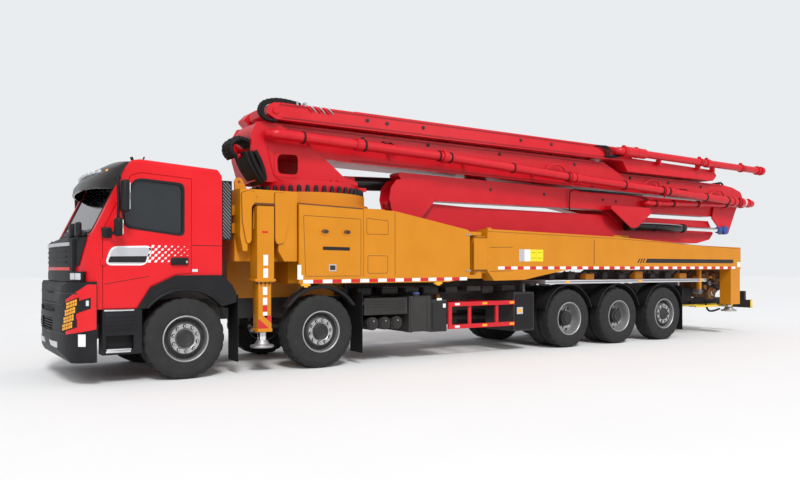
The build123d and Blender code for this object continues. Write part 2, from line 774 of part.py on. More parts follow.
# Walkway planks above the rear wheels, on brackets from the chassis
with BuildPart() as walkways:
    for side_name, side in sides:
        block(-6500, -11300, side * 560, side * 1235, 1180, 1240)
        for x in (-6560, -7815, -9200, -11200):
            block(x - 30, x + 30, side * (rail_outer_y - 60), side * 620, rail_top, 1180)
            block(x - 30, x + 30, side * (rail_outer_y - 60), side * 620, 1120, 1200)
save(walkways, "walkways")

# Pump unit between the rear outriggers
with BuildPart() as pump_unit:
    block(-5300, -7000, -330, 330, rail_top, 1560)
    block(-5300, -6200, -330, 330, 1560, 1800)
    block(-7000, -11500, -300, 300, rail_top, 1120)
    block(-9350, -9450, -90, 90, 1400, 2044)
    block(-9350, -9450, -235, 235, 1990, 2044)
    for y in (-180, 180):
        pin_y = y
        bar((-7000, pin_y, 1290), (-9200, pin_y, 1290), 90)
        bar((-9600, pin_y, 1290), (-11750, pin_y, 1290), 140)
    block(-9200, -9600, -340, 340, 1120, 1470)
save(pump_unit, "pump_unit")

# Concrete hopper at the rear: a fixed cover in front, a hinged grate behind
grate_front_x = -12445
grate_length = 540
grate_half_width = 740
hopper_top = 1400
grate_bottom = hopper_top + 0.3
grate_thickness = 46
grate_rows = 5
grate_columns = 13
with BuildPart() as hopper:
    with BuildSketch(Plane.XY.offset(800)) as hopper_low:
        with Locations((fa(-12380), 0)):
            Rectangle(700, 900)
    with BuildSketch(Plane.XY.offset(1400)) as hopper_high:
        with Locations((fa(-12430), 0)):
            Rectangle(1280, 1500)
    loft([hopper_low.sketch.face(), hopper_high.sketch.face()])
    block(-11500, -12040, -300, 300, rail_top, 1110)
    with BuildSketch(Plane.XY.offset(840)) as cavity_low:
        with Locations((fa(-12380), 0)):
            Rectangle(640, 840)
    with BuildSketch(Plane.XY.offset(1410)) as cavity_high:
        with Locations((fa(-12430), 0)):
            Rectangle(1250, 1470)
    loft([cavity_low.sketch.face(), cavity_high.sketch.face()], mode=Mode.SUBTRACT)
    block(-11795, grate_front_x + 12, -grate_half_width, grate_half_width, 1398, 1440)
save(hopper, "hopper")

with BuildPart() as hopper_grate:
    block(grate_front_x, grate_front_x - grate_length, -grate_half_width, grate_half_width,
          grate_bottom, grate_bottom + grate_thickness)
    for i in range(grate_rows):
        for j in range(grate_columns):
            slot_x = grate_front_x - (i + 0.5) * grate_length / grate_rows
            slot_y = -grate_half_width + (j + 0.5) * 2 * grate_half_width / grate_columns
            block(slot_x - 42, slot_x + 42, slot_y - 44, slot_y + 44, grate_bottom - 5,
                  grate_bottom + grate_thickness + 5, mode=Mode.SUBTRACT)
    pin(grate_front_x + 5, grate_bottom + grate_thickness + 5, -700, 700, 10)
save(hopper_grate, "hopper_grate")

with BuildPart() as underrun:
    block(-13020, -13100, -1200, 1200, 560, 740)
    for side_name, side in sides:
        block(rail_rear, -13020, side * (rail_outer_y - rail_thickness), side * rail_outer_y, 580, 780)
        block(-13030, -13090, side * 800, side * 1050, 740, 940)
        block(-12100, -12600, side * (rail_outer_y - rail_thickness), side * rail_outer_y, 780, 800)
save(underrun, "underrun")

# Turret: slewing base, two cheeks and the lift cylinder's base lugs
cheek_outline = [
    (-1360, 2775),
    (-1250, 3150),
    (-1240, 3500),
    (-1330, 3665),
    (-1500, 3705),
    (-1720, 3660),
    (-2465, 3215),
    (-2830, 2930),
    (-3080, 2860),
    (-3080, 2775),
]
cheek_outer_y = cheek_inner_y + cheek_thickness
lift_half_width = 120
with BuildPart() as turret:
    post(slew_axis_x, 0, slew_ring_top, 2790, slew_ring_radius - 90)
    block(-2900, -3300, -330, 330, 2730, 2790)
    for side_name, side in sides:
        plate(cheek_outline, side * cheek_inner_y, side * cheek_outer_y)
        plate([(-1640, 2890), (-2030, 2890), (-2030, 3250), (-1640, 3225)], side * (cheek_inner_y - 5),
              side * (cheek_outer_y + 5), mode=Mode.SUBTRACT)
    plate([(-1360, 2780), (-1330, 2780), (-1240, 3120), (-1240, 3200), (-1275, 3200), (-1275, 3125)],
          -cheek_inner_y, cheek_inner_y)
    pin(boom_root[0], boom_root[1], -(cheek_outer_y + 25), cheek_outer_y + 25, boom_pin_radius)
    lug_in = lift_cylinder_y - lift_half_width - lift_lug_gap
    lug_out = lift_cylinder_y + lift_half_width + lift_lug_gap
    for y0, y1 in ((lug_in - 34, lug_in), (lug_out, lug_out + 34)):
        plate([(-2900, 2780), (-3050, 3010), (-3250, 3010), (-3290, 2780)], y0, y1)
    pin(lift_base[0], lift_base[1], lug_in - 40, lug_out + 40, 45)
save(turret, "turret")

# Boom sections, folded: each is a hollow box beam with the X, Z outline below
boom_wall = 18


def beam(points, y0, y1):
    """Add a closed box beam with rounded corners and cut its hollow."""
    for inset, mode in ((0, Mode.ADD), (boom_wall, Mode.SUBTRACT)):
        with BuildSketch(Plane.XZ.offset(-(max(y0, y1) - inset))) as outline:
            with BuildLine():
                Polyline(*[(fa(x), z) for x, z in points], close=True)
            make_face()
            if inset:
                offset(amount=-inset, kind=Kind.INTERSECTION)
            fillet(outline.vertices(), boom_corner_radius - inset)
        extrude(outline.sketch, amount=abs(y1 - y0) - 2 * inset, mode=mode)


boom_1_outline = [
    (-1620, 3700),
    (-9050, 3680),
    (-9550, 3480),
    (-13200, 3468),
    (-13650, 3425),
    (-14000, 3330),
    (-14090, 3200),
    (-13960, 3070),
    (-10200, 3100),
    (-5000, 3165),
    (-2900, 3190),
    (-1600, 3260),
]
fold_inner_y = 20
fold_outer_y = 305
knee_12 = (-13280, 2900)
knee_12_radius = 130
with BuildPart() as boom_1:
    beam(boom_1_outline, -boom_half_width, boom_half_width)
    pin(boom_root[0], boom_root[1], -boom_half_width, boom_half_width, boom_root_radius)
    pin(boom_root[0], boom_root[1], -boom_half_width - 5, boom_half_width + 5,
        boom_pin_radius + pin_clearance, mode=Mode.SUBTRACT)
    plate([(-13000, 3080), (-13430, 3250), (-13430, 2860), (-13280, 2770), (-13110, 2860)],
          -30, fold_inner_y - 5)
    plate([(-12950, 3090), (-13960, 3130), (-13760, 2830), (-13480, 2300), (-13300, 2270), (-12830, 2650)],
          328, 358)
    pin(knee_12[0], knee_12[1], -36, 364, 55)
    pipe([(boom_root[0], 470, boom_root[1]), (boom_root[0], pipe_y, boom_root[1]), (-4625, pipe_y, 3400),
          (-7536, pipe_y, 3262), (-10930, pipe_y, 3142), (-13330, pipe_y, 3045), (-14120, pipe_y, 3030),
          (-14120, 440, 3030)], delivery_pipe_radius, 120)
    for x, z in ((-3000, 3444), (-8000, 3247), (-10930, 3142), (-13330, 3045)):
        bar((x - 60, pipe_y, z), (x + 60, pipe_y, z), delivery_pipe_radius + 18)
    for x, z in ((-2200, 3457), (-3700, 3422), (-5300, 3368), (-7000, 3287), (-8700, 3221),
                 (-10400, 3161), (-12000, 3120)):
        block(x - 25, x + 25, boom_half_width - 5, pipe_y - 50, z - 45, z + 45)
    lug_in = lift_cylinder_y - lift_half_width + 20
    lug_out = lift_cylinder_y + lift_half_width - 20
    for y0, y1 in ((lug_in - 22, lug_in), (lug_out, lug_out + 22)):
        plate([(-5800, 3170), (-5900, 2920), (-6100, 2920), (-6200, 3170)], y0, y1)
save(boom_1, "boom_1")

boom_2_outline = [
    (-3900, 3110),
    (-12900, 3020),
    (-13280, 3020),
    (-13400, 2900),
    (-13280, 2775),
    (-12900, 2690),
    (-9150, 2690),
    (-4380, 2650),
]
bracket_pin = (-9860, 2375)
bracket_inner_y = 208
bracket_outer_y = 485
knee_23 = (-4150, 2640)
with BuildPart() as boom_2:
    beam(boom_2_outline, fold_inner_y, fold_outer_y)
    pin(knee_12[0], knee_12[1], fold_inner_y, fold_outer_y, 110)
    pin(knee_12[0], knee_12[1], fold_inner_y - 5, fold_outer_y + 5, 55 + pin_clearance, mode=Mode.SUBTRACT)
    block(-9150, -10400, fold_outer_y - 20, bracket_outer_y, 2695, 2770)
    for y0, y1 in ((bracket_inner_y, bracket_inner_y + 18), (bracket_outer_y - 18, bracket_outer_y)):
        plate([(-9150, 2700), (-9760, 2330), (-9960, 2330), (-10500, 2700)], y0, y1)
    pin(bracket_pin[0], bracket_pin[1], bracket_inner_y, bracket_outer_y, 42)
    pipe([(-10350, fold_outer_y - 5, 2880), (-10350, return_pipe_y, 2880), (-10500, return_pipe_y, 2885),
          (-13990, return_pipe_y, 3010)], return_pipe_radius, 60)
    for x, z in ((-11400, 2917), (-12600, 2960)):
        block(x - 20, x + 20, fold_outer_y - 5, return_pipe_y - 30, z - 20, z + 20)
    for y0, y1 in ((fold_inner_y - 18, fold_inner_y), (fold_outer_y, fold_outer_y + 22)):
        plate([(-3760, 2640), (-3790, 2830), (-3900, 2970), (-4150, 3030), (-4900, 3030), (-4700, 2640),
               (-4420, 2330), (-4150, 2250), (-3950, 2310), (-3810, 2450)], y0, y1)
save(boom_2, "boom_2")

boom_3_outline = [
    (-3800, 2620),
    (-3850, 2420),
    (-4050, 2280),
    (-5600, 2060),
    (-12450, 2050),
    (-12950, 2150),
    (-13100, 2300),
    (-12900, 2590),
    (-5500, 2590),
    (-4600, 2620),
]
boom_3_outer_y = 203
boom_3_widening_x = -7100
knee_34 = (-12780, 2320)
boom_4_inner_y = 460
boom_4_outer_y = 740
with BuildPart() as boom_3:
    beam(boom_3_outline, fold_inner_y, boom_3_outer_y)
    plate([(boom_3_widening_x, 2590), (boom_3_widening_x, 2060), (-12450, 2050), (-12950, 2150),
           (-13100, 2300), (-12900, 2590)], fold_inner_y, -205)
    plate([(boom_3_widening_x - 18, 2572), (boom_3_widening_x - 18, 2078), (-12450, 2068), (-12930, 2160),
           (-13080, 2300), (-12890, 2572)], fold_inner_y - 10, -187, mode=Mode.SUBTRACT)
    pin(knee_34[0], knee_34[1], -200, -boom_4_outer_y, 60)
    pin(knee_34[0], knee_34[1], -200, -boom_4_inner_y, 150)
    pin(knee_23[0], knee_23[1] - 180, boom_3_outer_y, fold_outer_y, 120)
save(boom_3, "boom_3")

knee_45 = (-1600, 3858)
boom_5_inner_y = -200
boom_5_outer_y = 500
boom_4_outline = [
    (-1600, 3990),
    (-1470, 3858),
    (-1600, 3726),
    (-12700, 2170),
    (-12930, 2250),
    (-12900, 2430),
    (-12780, 2470),
    (-11000, 2720),
]
with BuildPart() as boom_4:
    beam(boom_4_outline, -boom_4_outer_y, -boom_4_inner_y)
    pin(knee_34[0], knee_34[1], -boom_4_outer_y - 5, -boom_4_inner_y + 5, 60, mode=Mode.SUBTRACT)
    pin(knee_45[0], knee_45[1], -boom_4_inner_y - 20, boom_5_outer_y + 20, 50)
save(boom_4, "boom_4")

boom_5_outline = [
    (-1600, 3990),
    (-1480, 3925),
    (-1468, 3800),
    (-1600, 3726),
    (-9480, 3722),
    (-9640, 3510),
    (-12650, 3510),
    (-12800, 3640),
    (-12650, 3755),
    (-9800, 3800),
    (-9500, 3990),
]
knee_56 = (-12650, 3632)
boom_6_inner_y = 215
boom_6_outer_y = 440
with BuildPart() as boom_5:
    beam(boom_5_outline, boom_5_inner_y, boom_5_outer_y)
    pin(knee_45[0], knee_45[1], boom_5_inner_y, boom_5_outer_y, 105)
    pin(knee_45[0], knee_45[1], boom_5_inner_y - 5, boom_5_outer_y + 5, 50 + pin_clearance,
        mode=Mode.SUBTRACT)
    pin(knee_56[0], knee_56[1], -boom_6_outer_y - 15, boom_5_inner_y, 45)
    pipe([(-9250, 480, 3905), (-9250, pipe_y, 3905), (-14480, pipe_y, 3855)], tip_pipe_radius, 90)
    bar((-9440, pipe_y, 3903), (-10050, pipe_y, 3897), tip_pipe_radius + 28)
    bar((-12200, pipe_y, 3877), (-12330, pipe_y, 3876), tip_pipe_radius + 20)
    bar((-14420, pipe_y, 3855.5), (-14500, pipe_y, 3855.5), tip_pipe_radius + 22)
    for x in (-10600, -12000):
        block(x - 25, x + 25, boom_5_outer_y - 10, pipe_y, 3760 - 60, 3830)
    for x in (-12550,):
        block(x - 25, x + 25, boom_5_outer_y - 10, pipe_y, 3700, 3830)
save(boom_5, "boom_5")

boom_6_outline = [
    (-12650, 3742),
    (-12760, 3632),
    (-12650, 3522),
    (-9400, 3716),
    (-3200, 3760),
    (-3200, 3900),
    (-9500, 3950),
]
with BuildPart() as boom_6:
    beam(boom_6_outline, -boom_6_outer_y, -boom_6_inner_y)
    pin(knee_56[0], knee_56[1], -boom_6_outer_y, -boom_6_inner_y, 90)
    pin(knee_56[0], knee_56[1], -boom_6_outer_y - 5, -boom_6_inner_y + 5, 45 + pin_clearance,
        mode=Mode.SUBTRACT)
    bar((-3500, -(boom_6_inner_y + boom_6_outer_y) / 2, 3830), (-2650, -(boom_6_inner_y + boom_6_outer_y) / 2, 3830), outlet_radius)
save(boom_6, "boom_6")

# Boom 1's lift cylinder: barrel and rod
lift_vector = Vector(lift_eye[0] - lift_base[0], 0, lift_eye[1] - lift_base[1])
lift_length = lift_vector.length
lift_unit = lift_vector.normalized()


def along_lift(distance):
    """Point on the lift cylinder's axis."""
    return (lift_base[0] + lift_unit.X * distance, lift_cylinder_y, lift_base[1] + lift_unit.Z * distance)


with BuildPart() as lift_barrel:
    bar(along_lift(60), along_lift(2350), lift_barrel_radius)
    pin(lift_base[0], lift_base[1], lift_cylinder_y - 115, lift_cylinder_y + 115, 95)
    bar(along_lift(180), along_lift(2360), lift_rod_radius + pin_clearance, mode=Mode.SUBTRACT)
    pin(lift_base[0], lift_base[1], lift_cylinder_y - 130, lift_cylinder_y + 130, 45 + pin_clearance, mode=Mode.SUBTRACT)
save(lift_barrel, "lift_cylinder_barrel")

with BuildPart() as lift_rod:
    bar(along_lift(200), along_lift(lift_length - 40), lift_rod_radius)
    pin(lift_eye[0], lift_eye[1], lift_cylinder_y - 80, lift_cylinder_y + 80, 85)
save(lift_rod, "lift_cylinder_rod")

# Boom 2's knee cylinder, held between boom 2's bracket and the lever on boom 1
knee_cylinder_y = 343
knee_pin = (-13295, 2372)
with BuildPart() as knee_cylinder:
    bar((-9980, knee_cylinder_y, 2375), (-12250, knee_cylinder_y, 2374), 112)
    pin(bracket_pin[0], bracket_pin[1], knee_cylinder_y - 110, knee_cylinder_y + 110, 95)
    pin(bracket_pin[0], bracket_pin[1], knee_cylinder_y - 115, knee_cylinder_y + 115, 42.3,
        mode=Mode.SUBTRACT)
    bar((-12250, knee_cylinder_y, 2374), (-12990, knee_cylinder_y, 2372), 58)
    block(-12960, -13030, 300, 386, 2300, 2440)
    for y0, y1 in ((300, 328), (358, 386)):
        plate([(-12960, 2300), (-13330, 2290), (-13370, 2372), (-13330, 2455), (-12960, 2440)], y0, y1)
save(knee_cylinder, "boom_2_cylinder")
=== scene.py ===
"""Concrete pump truck: the dressed model, its studio and its camera."""

from __future__ import annotations

import logging
import math
from dataclasses import dataclass
from enum import Enum
from typing import Callable, Sequence

import bmesh
import bpy
from mathutils import Matrix, Vector


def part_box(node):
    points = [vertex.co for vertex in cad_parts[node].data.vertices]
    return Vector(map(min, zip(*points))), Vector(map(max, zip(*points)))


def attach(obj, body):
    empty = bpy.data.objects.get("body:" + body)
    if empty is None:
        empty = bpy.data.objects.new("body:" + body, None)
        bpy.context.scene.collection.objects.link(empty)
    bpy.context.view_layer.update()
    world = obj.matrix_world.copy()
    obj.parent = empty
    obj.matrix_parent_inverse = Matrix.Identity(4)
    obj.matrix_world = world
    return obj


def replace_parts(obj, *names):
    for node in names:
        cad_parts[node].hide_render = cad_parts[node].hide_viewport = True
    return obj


logging.basicConfig(level=logging.INFO, format="%(levelname)s %(message)s")
LOG = logging.getLogger("pump_truck")

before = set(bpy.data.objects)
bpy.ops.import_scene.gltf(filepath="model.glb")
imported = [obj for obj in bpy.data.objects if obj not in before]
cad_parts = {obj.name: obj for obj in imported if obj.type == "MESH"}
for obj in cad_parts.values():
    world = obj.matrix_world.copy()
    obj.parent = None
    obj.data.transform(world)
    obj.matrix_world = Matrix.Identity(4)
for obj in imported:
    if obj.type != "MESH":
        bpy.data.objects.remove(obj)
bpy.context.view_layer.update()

Point = tuple[float, float, float]
Flat = tuple[float, float]
Colour = tuple[float, float, float]
Height = float | Callable[[float], float]
Piece = bpy.types.Object

EDGE_SMOOTH = math.radians(40)
TUBE_SMOOTH = math.radians(60)
SPIN_SMOOTH = math.radians(35)
SOLID_SMOOTH = math.radians(30)
WELD_GAP = 0.0004

WHEEL_LOW, WHEEL_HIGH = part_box("wheel_1_left")
FRONT_AXLE_X = (WHEEL_LOW[0] + WHEEL_HIGH[0]) / 2


def fa(x: float) -> float:
    """Return the frame X of a place measured from the front axle."""
    return FRONT_AXLE_X + x


def ahead(point: Point) -> Point:
    """Return a point in the frame, its X given from the front axle."""
    return fa(point[0]), point[1], point[2]


class Side(Enum):
    """The two sides of the truck, with the sign of Y."""

    LEFT = 1
    RIGHT = -1

    @property
    def word(self) -> str:
        """Return the side's name as the nodes spell it."""
        return self.name.lower()


class Value:
    """A shader socket that takes part in Python expressions."""

    def __init__(self, tree: bpy.types.NodeTree, socket: bpy.types.NodeSocket | float) -> None:
        """Wrap a socket or a plain number of one node tree."""
        self.tree = tree
        self.socket = socket

    def _math(self, operation: str, *others: "Value | float") -> "Value":
        """Add a Math node over this value and the others."""
        node = self.tree.nodes.new("ShaderNodeMath")
        node.operation = operation
        for slot, item in zip(node.inputs, (self, *others)):
            source = item.socket if isinstance(item, Value) else item
            if isinstance(source, bpy.types.NodeSocket):
                self.tree.links.new(source, slot)
            else:
                slot.default_value = source
        return Value(self.tree, node.outputs[0])

    def __add__(self, other: "Value | float") -> "Value":
        """Add."""
        return self._math("ADD", other)

    __radd__ = __add__

    def __sub__(self, other: "Value | float") -> "Value":
        """Subtract."""
        return self._math("SUBTRACT", other)

    def __rsub__(self, other: float) -> "Value":
        """Subtract this from a number."""
        return Value(self.tree, other)._math("SUBTRACT", self)

    def __mul__(self, other: "Value | float") -> "Value":
        """Multiply."""
        return self._math("MULTIPLY", other)

    __rmul__ = __mul__

    def sine(self) -> "Value":
        """Return the sine."""
        return self._math("SINE")

    def smooth(self, low: float, high: float) -> "Value":
        """Return a 0 to 1 step between two values."""
        node = self.tree.nodes.new("ShaderNodeMapRange")
        node.interpolation_type = "SMOOTHSTEP"
        self.tree.links.new(self.socket, node.inputs[0])
        node.inputs[1].default_value = low
        node.inputs[2].default_value = high
        return Value(self.tree, node.outputs[0])


class Material:
    """A node material under construction."""

    def __init__(self, name: str) -> None:
        """Start a material with an empty tree."""
        self.data = bpy.data.materials.new(name)
        self.data.use_nodes = True
        self.tree = self.data.node_tree
        self.tree.nodes.clear()
        self.output = self.tree.nodes.new("ShaderNodeOutputMaterial")
        self.coords = self.tree.nodes.new("ShaderNodeTexCoord").outputs["Object"]

    def node(self, kind: str, settings: dict[str, object] | None = None, **sockets: object) -> bpy.types.Node:
        """Add a node, set its settings, then fill its sockets.

        Args:
            kind: the node's type name.
            settings: attributes set before the sockets.
            sockets: values or links by socket name, spaces as underscores.

        Returns:
            The new node.
        """
        node = self.tree.nodes.new(kind)
        for key, value in (settings or {}).items():
            setattr(node, key, value)
        for key, value in sockets.items():
            slot = node.inputs[key.replace("_", " ")]
            self.feed(slot, value)
        return node

    def feed(self, slot: bpy.types.NodeSocket, value: object) -> None:
        """Put a number, a colour or a link into a socket."""
        source = value.socket if isinstance(value, Value) else value
        if isinstance(source, bpy.types.NodeSocket):
            self.tree.links.new(source, slot)
        elif isinstance(source, (tuple, list)) and len(source) == 3 and slot.type == "RGBA":
            slot.default_value = (*source, 1.0)
        else:
            slot.default_value = source

    def axis(self, index: int) -> Value:
        """Return one object coordinate as a value."""
        node = self.node("ShaderNodeSeparateXYZ", Vector=self.coords)
        return Value(self.tree, node.outputs[index])

    def noise(self, scale: float, detail: float = 3.0, stretch: Point = (1, 1, 1)) -> Value:
        """Return a noise value over object coordinates."""
        mapped = self.node("ShaderNodeMapping", Vector=self.coords, Scale=stretch)
        node = self.node("ShaderNodeTexNoise", Vector=mapped.outputs[0], Scale=scale, Detail=detail)
        return Value(self.tree, node.outputs[0])

    def mix(self, factor: Value | float, low: object, high: object) -> bpy.types.NodeSocket:
        """Mix two colours by a factor."""
        node = self.tree.nodes.new("ShaderNodeMix")
        node.data_type = "RGBA"
        self.feed(node.inputs[0], factor)
        self.feed(node.inputs[6], low)
        self.feed(node.inputs[7], high)
        return node.outputs[2]

    def bump(self, height: Value, strength: float, distance: float) -> bpy.types.NodeSocket:
        """Return a bumped normal."""
        node = self.node("ShaderNodeBump", Height=height, Strength=strength, Distance=distance)
        return node.outputs[0]

    def finish(self, **sockets: object) -> bpy.types.Material:
        """Close the material with one Principled shader."""
        shader = self.node("ShaderNodeBsdfPrincipled", None, **sockets)
        self.tree.links.new(shader.outputs[0], self.output.inputs[0])
        return self.data


@dataclass(frozen=True)
class Paint:
    """A coat of vehicle paint with fine dust and a light orange peel."""

    name: str
    colour: Colour
    roughness: float = 0.32
    dust: float = 0.12
    dust_colour: Colour = (0.32, 0.29, 0.25)

    def build(self) -> bpy.types.Material:
        """Return the paint as a material."""
        made = Material(self.name)
        cloud = made.noise(2.3, 5.0)
        fine = made.noise(60.0, 2.0)
        height = made.axis(2)
        low = 1.0 - height.smooth(0.2, 2.2)
        veil = (cloud.smooth(0.35, 0.8) * 0.6 + fine * 0.25 + low * 0.7) * self.dust
        deep = tuple(c * 0.82 for c in self.colour)
        base = made.mix(cloud, deep, self.colour)
        shade = made.mix(veil, base, self.dust_colour)
        rough = self.roughness + veil * 0.9
        peel = made.noise(240.0, 1.0)
        return made.finish(Base_Color=shade, Roughness=rough, Specular_IOR_Level=0.3, Coat_Weight=0.1,
            Coat_Roughness=0.12, Normal=made.bump(peel, 0.06, 0.002))


@dataclass(frozen=True)
class Rubber:
    """Black tyre rubber with dust in soft cloudy patches."""

    name: str = "tyre_rubber_worn"

    def build(self) -> bpy.types.Material:
        """Return the rubber as a material."""
        made = Material(self.name)
        cloud = made.noise(9.0, 4.0)
        grit = made.noise(220.0, 2.0)
        base = made.mix(cloud.smooth(0.3, 0.8) * 0.3, (0.022, 0.022, 0.022), (0.05, 0.047, 0.042))
        return made.finish(Base_Color=base, Roughness=0.72 + cloud * 0.2, Specular_IOR_Level=0.25,
            Normal=made.bump(grit, 0.25, 0.002))


@dataclass(frozen=True)
class Steel:
    """Bare or plated metal with fine scratches."""

    name: str
    colour: Colour
    roughness: float
    metallic: float = 1.0
    grime: float = 0.2

    def build(self) -> bpy.types.Material:
        """Return the metal as a material."""
        made = Material(self.name)
        cloud = made.noise(6.0, 4.0)
        brushed = made.noise(90.0, 2.0, (1.0, 14.0, 14.0))
        base = made.mix(cloud.smooth(0.45, 0.85) * self.grime, self.colour, (0.16, 0.13, 0.1))
        rough = self.roughness + cloud * self.grime * 0.5 + brushed * 0.06
        return made.finish(Base_Color=base, Metallic=self.metallic, Roughness=rough,
            Normal=made.bump(brushed, 0.05, 0.001))


@dataclass(frozen=True)
class Plastic:
    """Moulded plastic with a fine grain."""

    name: str
    colour: Colour
    roughness: float = 0.5

    def build(self) -> bpy.types.Material:
        """Return the plastic as a material."""
        made = Material(self.name)
        grain = made.noise(320.0, 2.0)
        cloud = made.noise(3.0, 3.0)
        lighter = tuple(min(1.0, c * 1.4 + 0.004) for c in self.colour)
        base = made.mix(cloud.smooth(0.3, 0.8) * 0.6, self.colour, lighter)
        return made.finish(Base_Color=base, Roughness=self.roughness + cloud * 0.12, Specular_IOR_Level=0.22,
            Normal=made.bump(grain, 0.12, 0.001))


@dataclass(frozen=True)
class Glazing:
    """Tinted cab glass."""

    name: str
    colour: Colour = (0.012, 0.015, 0.017)
    alpha: float = 0.93

    def build(self) -> bpy.types.Material:
        """Return the glass as a material."""
        made = Material(self.name)
        cloud = made.noise(4.0, 2.0)
        base = made.mix(cloud * 0.4, self.colour, (0.03, 0.035, 0.038))
        return made.finish(Base_Color=base, Roughness=0.05 + cloud * 0.04, Alpha=self.alpha, Coat_Weight=0.6)


@dataclass(frozen=True)
class Chequer:
    """Aluminium tread plate."""

    name: str = "tread_plate"

    def build(self) -> bpy.types.Material:
        """Return the plate as a material."""
        made = Material(self.name)
        x = made.axis(0) * 60.0
        y = made.axis(1) * 60.0
        bars = ((x + y).sine() * (x - y).sine()).smooth(0.3, 0.7)
        cloud = made.noise(5.0, 4.0)
        base = made.mix(cloud.smooth(0.4, 0.8) * 0.45, (0.62, 0.62, 0.64), (0.25, 0.22, 0.18))
        return made.finish(Base_Color=base, Metallic=0.85, Roughness=0.38 + cloud * 0.2,
            Normal=made.bump(bars, 0.5, 0.003))


@dataclass(frozen=True)
class Caked:
    """Machine paint with dried cement dust on it."""

    name: str
    colour: Colour

    def build(self) -> bpy.types.Material:
        """Return the caked paint as a material."""
        made = Material(self.name)
        crust = made.noise(11.0, 6.0)
        fine = made.noise(80.0, 3.0)
        base = made.mix(crust.smooth(0.5, 0.75) * 0.5, self.colour, (0.26, 0.17, 0.1))
        return made.finish(Base_Color=base, Roughness=0.6 + crust * 0.3, Specular_IOR_Level=0.3,
            Normal=made.bump(crust + fine * 0.3, 0.35, 0.006))


@dataclass(frozen=True)
class Glow:
    """A lamp lens."""

    name: str
    colour: Colour
    strength: float = 0.0

    def build(self) -> bpy.types.Material:
        """Return the lens as a material."""
        made = Material(self.name)
        x = made.axis(1) * 400.0
        z = made.axis(2) * 400.0
        ribs = x.sine() * z.sine()
        base = made.mix(ribs.smooth(-1.0, 1.0), self.colour, tuple(c * 0.6 for c in self.colour))
        return made.finish(Base_Color=base, Roughness=0.14, Emission_Color=base, Emission_Strength=self.strength,
            Normal=made.bump(ribs, 0.3, 0.001))


class Finishes:
    """Every finish of the truck, built once and looked up by name."""

    def __init__(self) -> None:
        """Build all finishes."""
        recipes = (Paint("cab_red", (0.72, 0.006, 0.012), 0.3, 0.02),
            Paint("boom_red", (0.62, 0.004, 0.014), 0.36, 0.03), Paint("body_orange", (0.62, 0.225, 0.001), 0.42, 0.02),
            Paint("black_paint", (0.007, 0.007, 0.008), 0.3, 0.04),
            Paint("chassis_black", (0.009, 0.009, 0.01), 0.5, 0.08), Paint("white_paint", (0.82, 0.82, 0.8), 0.35, 0.1),
            Paint("reflective_white", (0.86, 0.86, 0.86), 0.25, 0.05),
            Paint("reflective_red", (0.62, 0.01, 0.012), 0.25, 0.05),
            Paint("warning_yellow", (0.9, 0.62, 0.02), 0.35, 0.1), Paint("sign_yellow", (0.85, 0.72, 0.01), 0.35, 0.04),
            # seam_red: darker red painted as shadow lines along the boom arms' edges
            Paint("seam_red", (0.3, 0.003, 0.008), 0.45, 0.03), Paint("seam_shadow", (0.13, 0.04, 0.008), 0.6, 0.1),
            Paint("handle_blue", (0.02, 0.07, 0.3), 0.35, 0.1), Rubber(),
            Steel("rim_steel", (0.42, 0.42, 0.42), 0.38, 0.8, 0.3),
            Steel("polished_disc", (0.5, 0.5, 0.5), 0.3, 0.9, 0.12),
            Steel("chrome_rod", (0.86, 0.86, 0.88), 0.08, 1.0, 0.05),
            Steel("silver_trim", (0.7, 0.7, 0.72), 0.28, 0.9, 0.1),
            # channel_grey: near-black painted shade for the recessed channel of the wheel discs
            Steel("channel_grey", (0.07, 0.07, 0.07), 0.5, 0.4, 0.3),
            Steel("dark_hub", (0.025, 0.025, 0.026), 0.45, 0.3, 0.3),
            Steel("engine_iron", (0.2, 0.2, 0.2), 0.55, 0.7, 0.6),
            Steel("mirror_glass", (0.9, 0.9, 0.92), 0.03, 1.0, 0.02),
            Plastic("black_plastic", (0.009, 0.009, 0.01), 0.45), Plastic("grille_grey", (0.03, 0.03, 0.032), 0.42),
            Plastic("rib_grey", (0.16, 0.16, 0.165), 0.42), Plastic("hose_black", (0.007, 0.007, 0.008), 0.5),
            Plastic("seat_cloth", (0.05, 0.05, 0.055), 0.85), Plastic("visor_smoke", (0.02, 0.018, 0.016), 0.15),
            Glazing("cab_glazing"), Chequer(), Caked("pump_caked", (0.13, 0.055, 0.018)),
            Glow("amber_lens", (0.9, 0.38, 0.02), 0.4), Glow("clear_lens", (0.75, 0.77, 0.8), 0.0),
            Glow("red_lens", (0.5, 0.01, 0.01), 0.1), Glow("green_lens", (0.5, 0.75, 0.05), 0.3))
        self.by_name = {recipe.name: recipe.build() for recipe in recipes}

    def __getitem__(self, name: str) -> bpy.types.Material:
        """Return a finish by its name."""
        return self.by_name[name]


def link(made: Piece) -> Piece:
    """Put a new object into the scene."""
    bpy.context.scene.collection.objects.link(made)
    return made


def deselect() -> None:
    """Leave edit mode and select nothing."""
    if bpy.context.object and bpy.context.object.mode != "OBJECT":
        bpy.ops.object.mode_set(mode="OBJECT")
    bpy.ops.object.select_all(action="DESELECT")


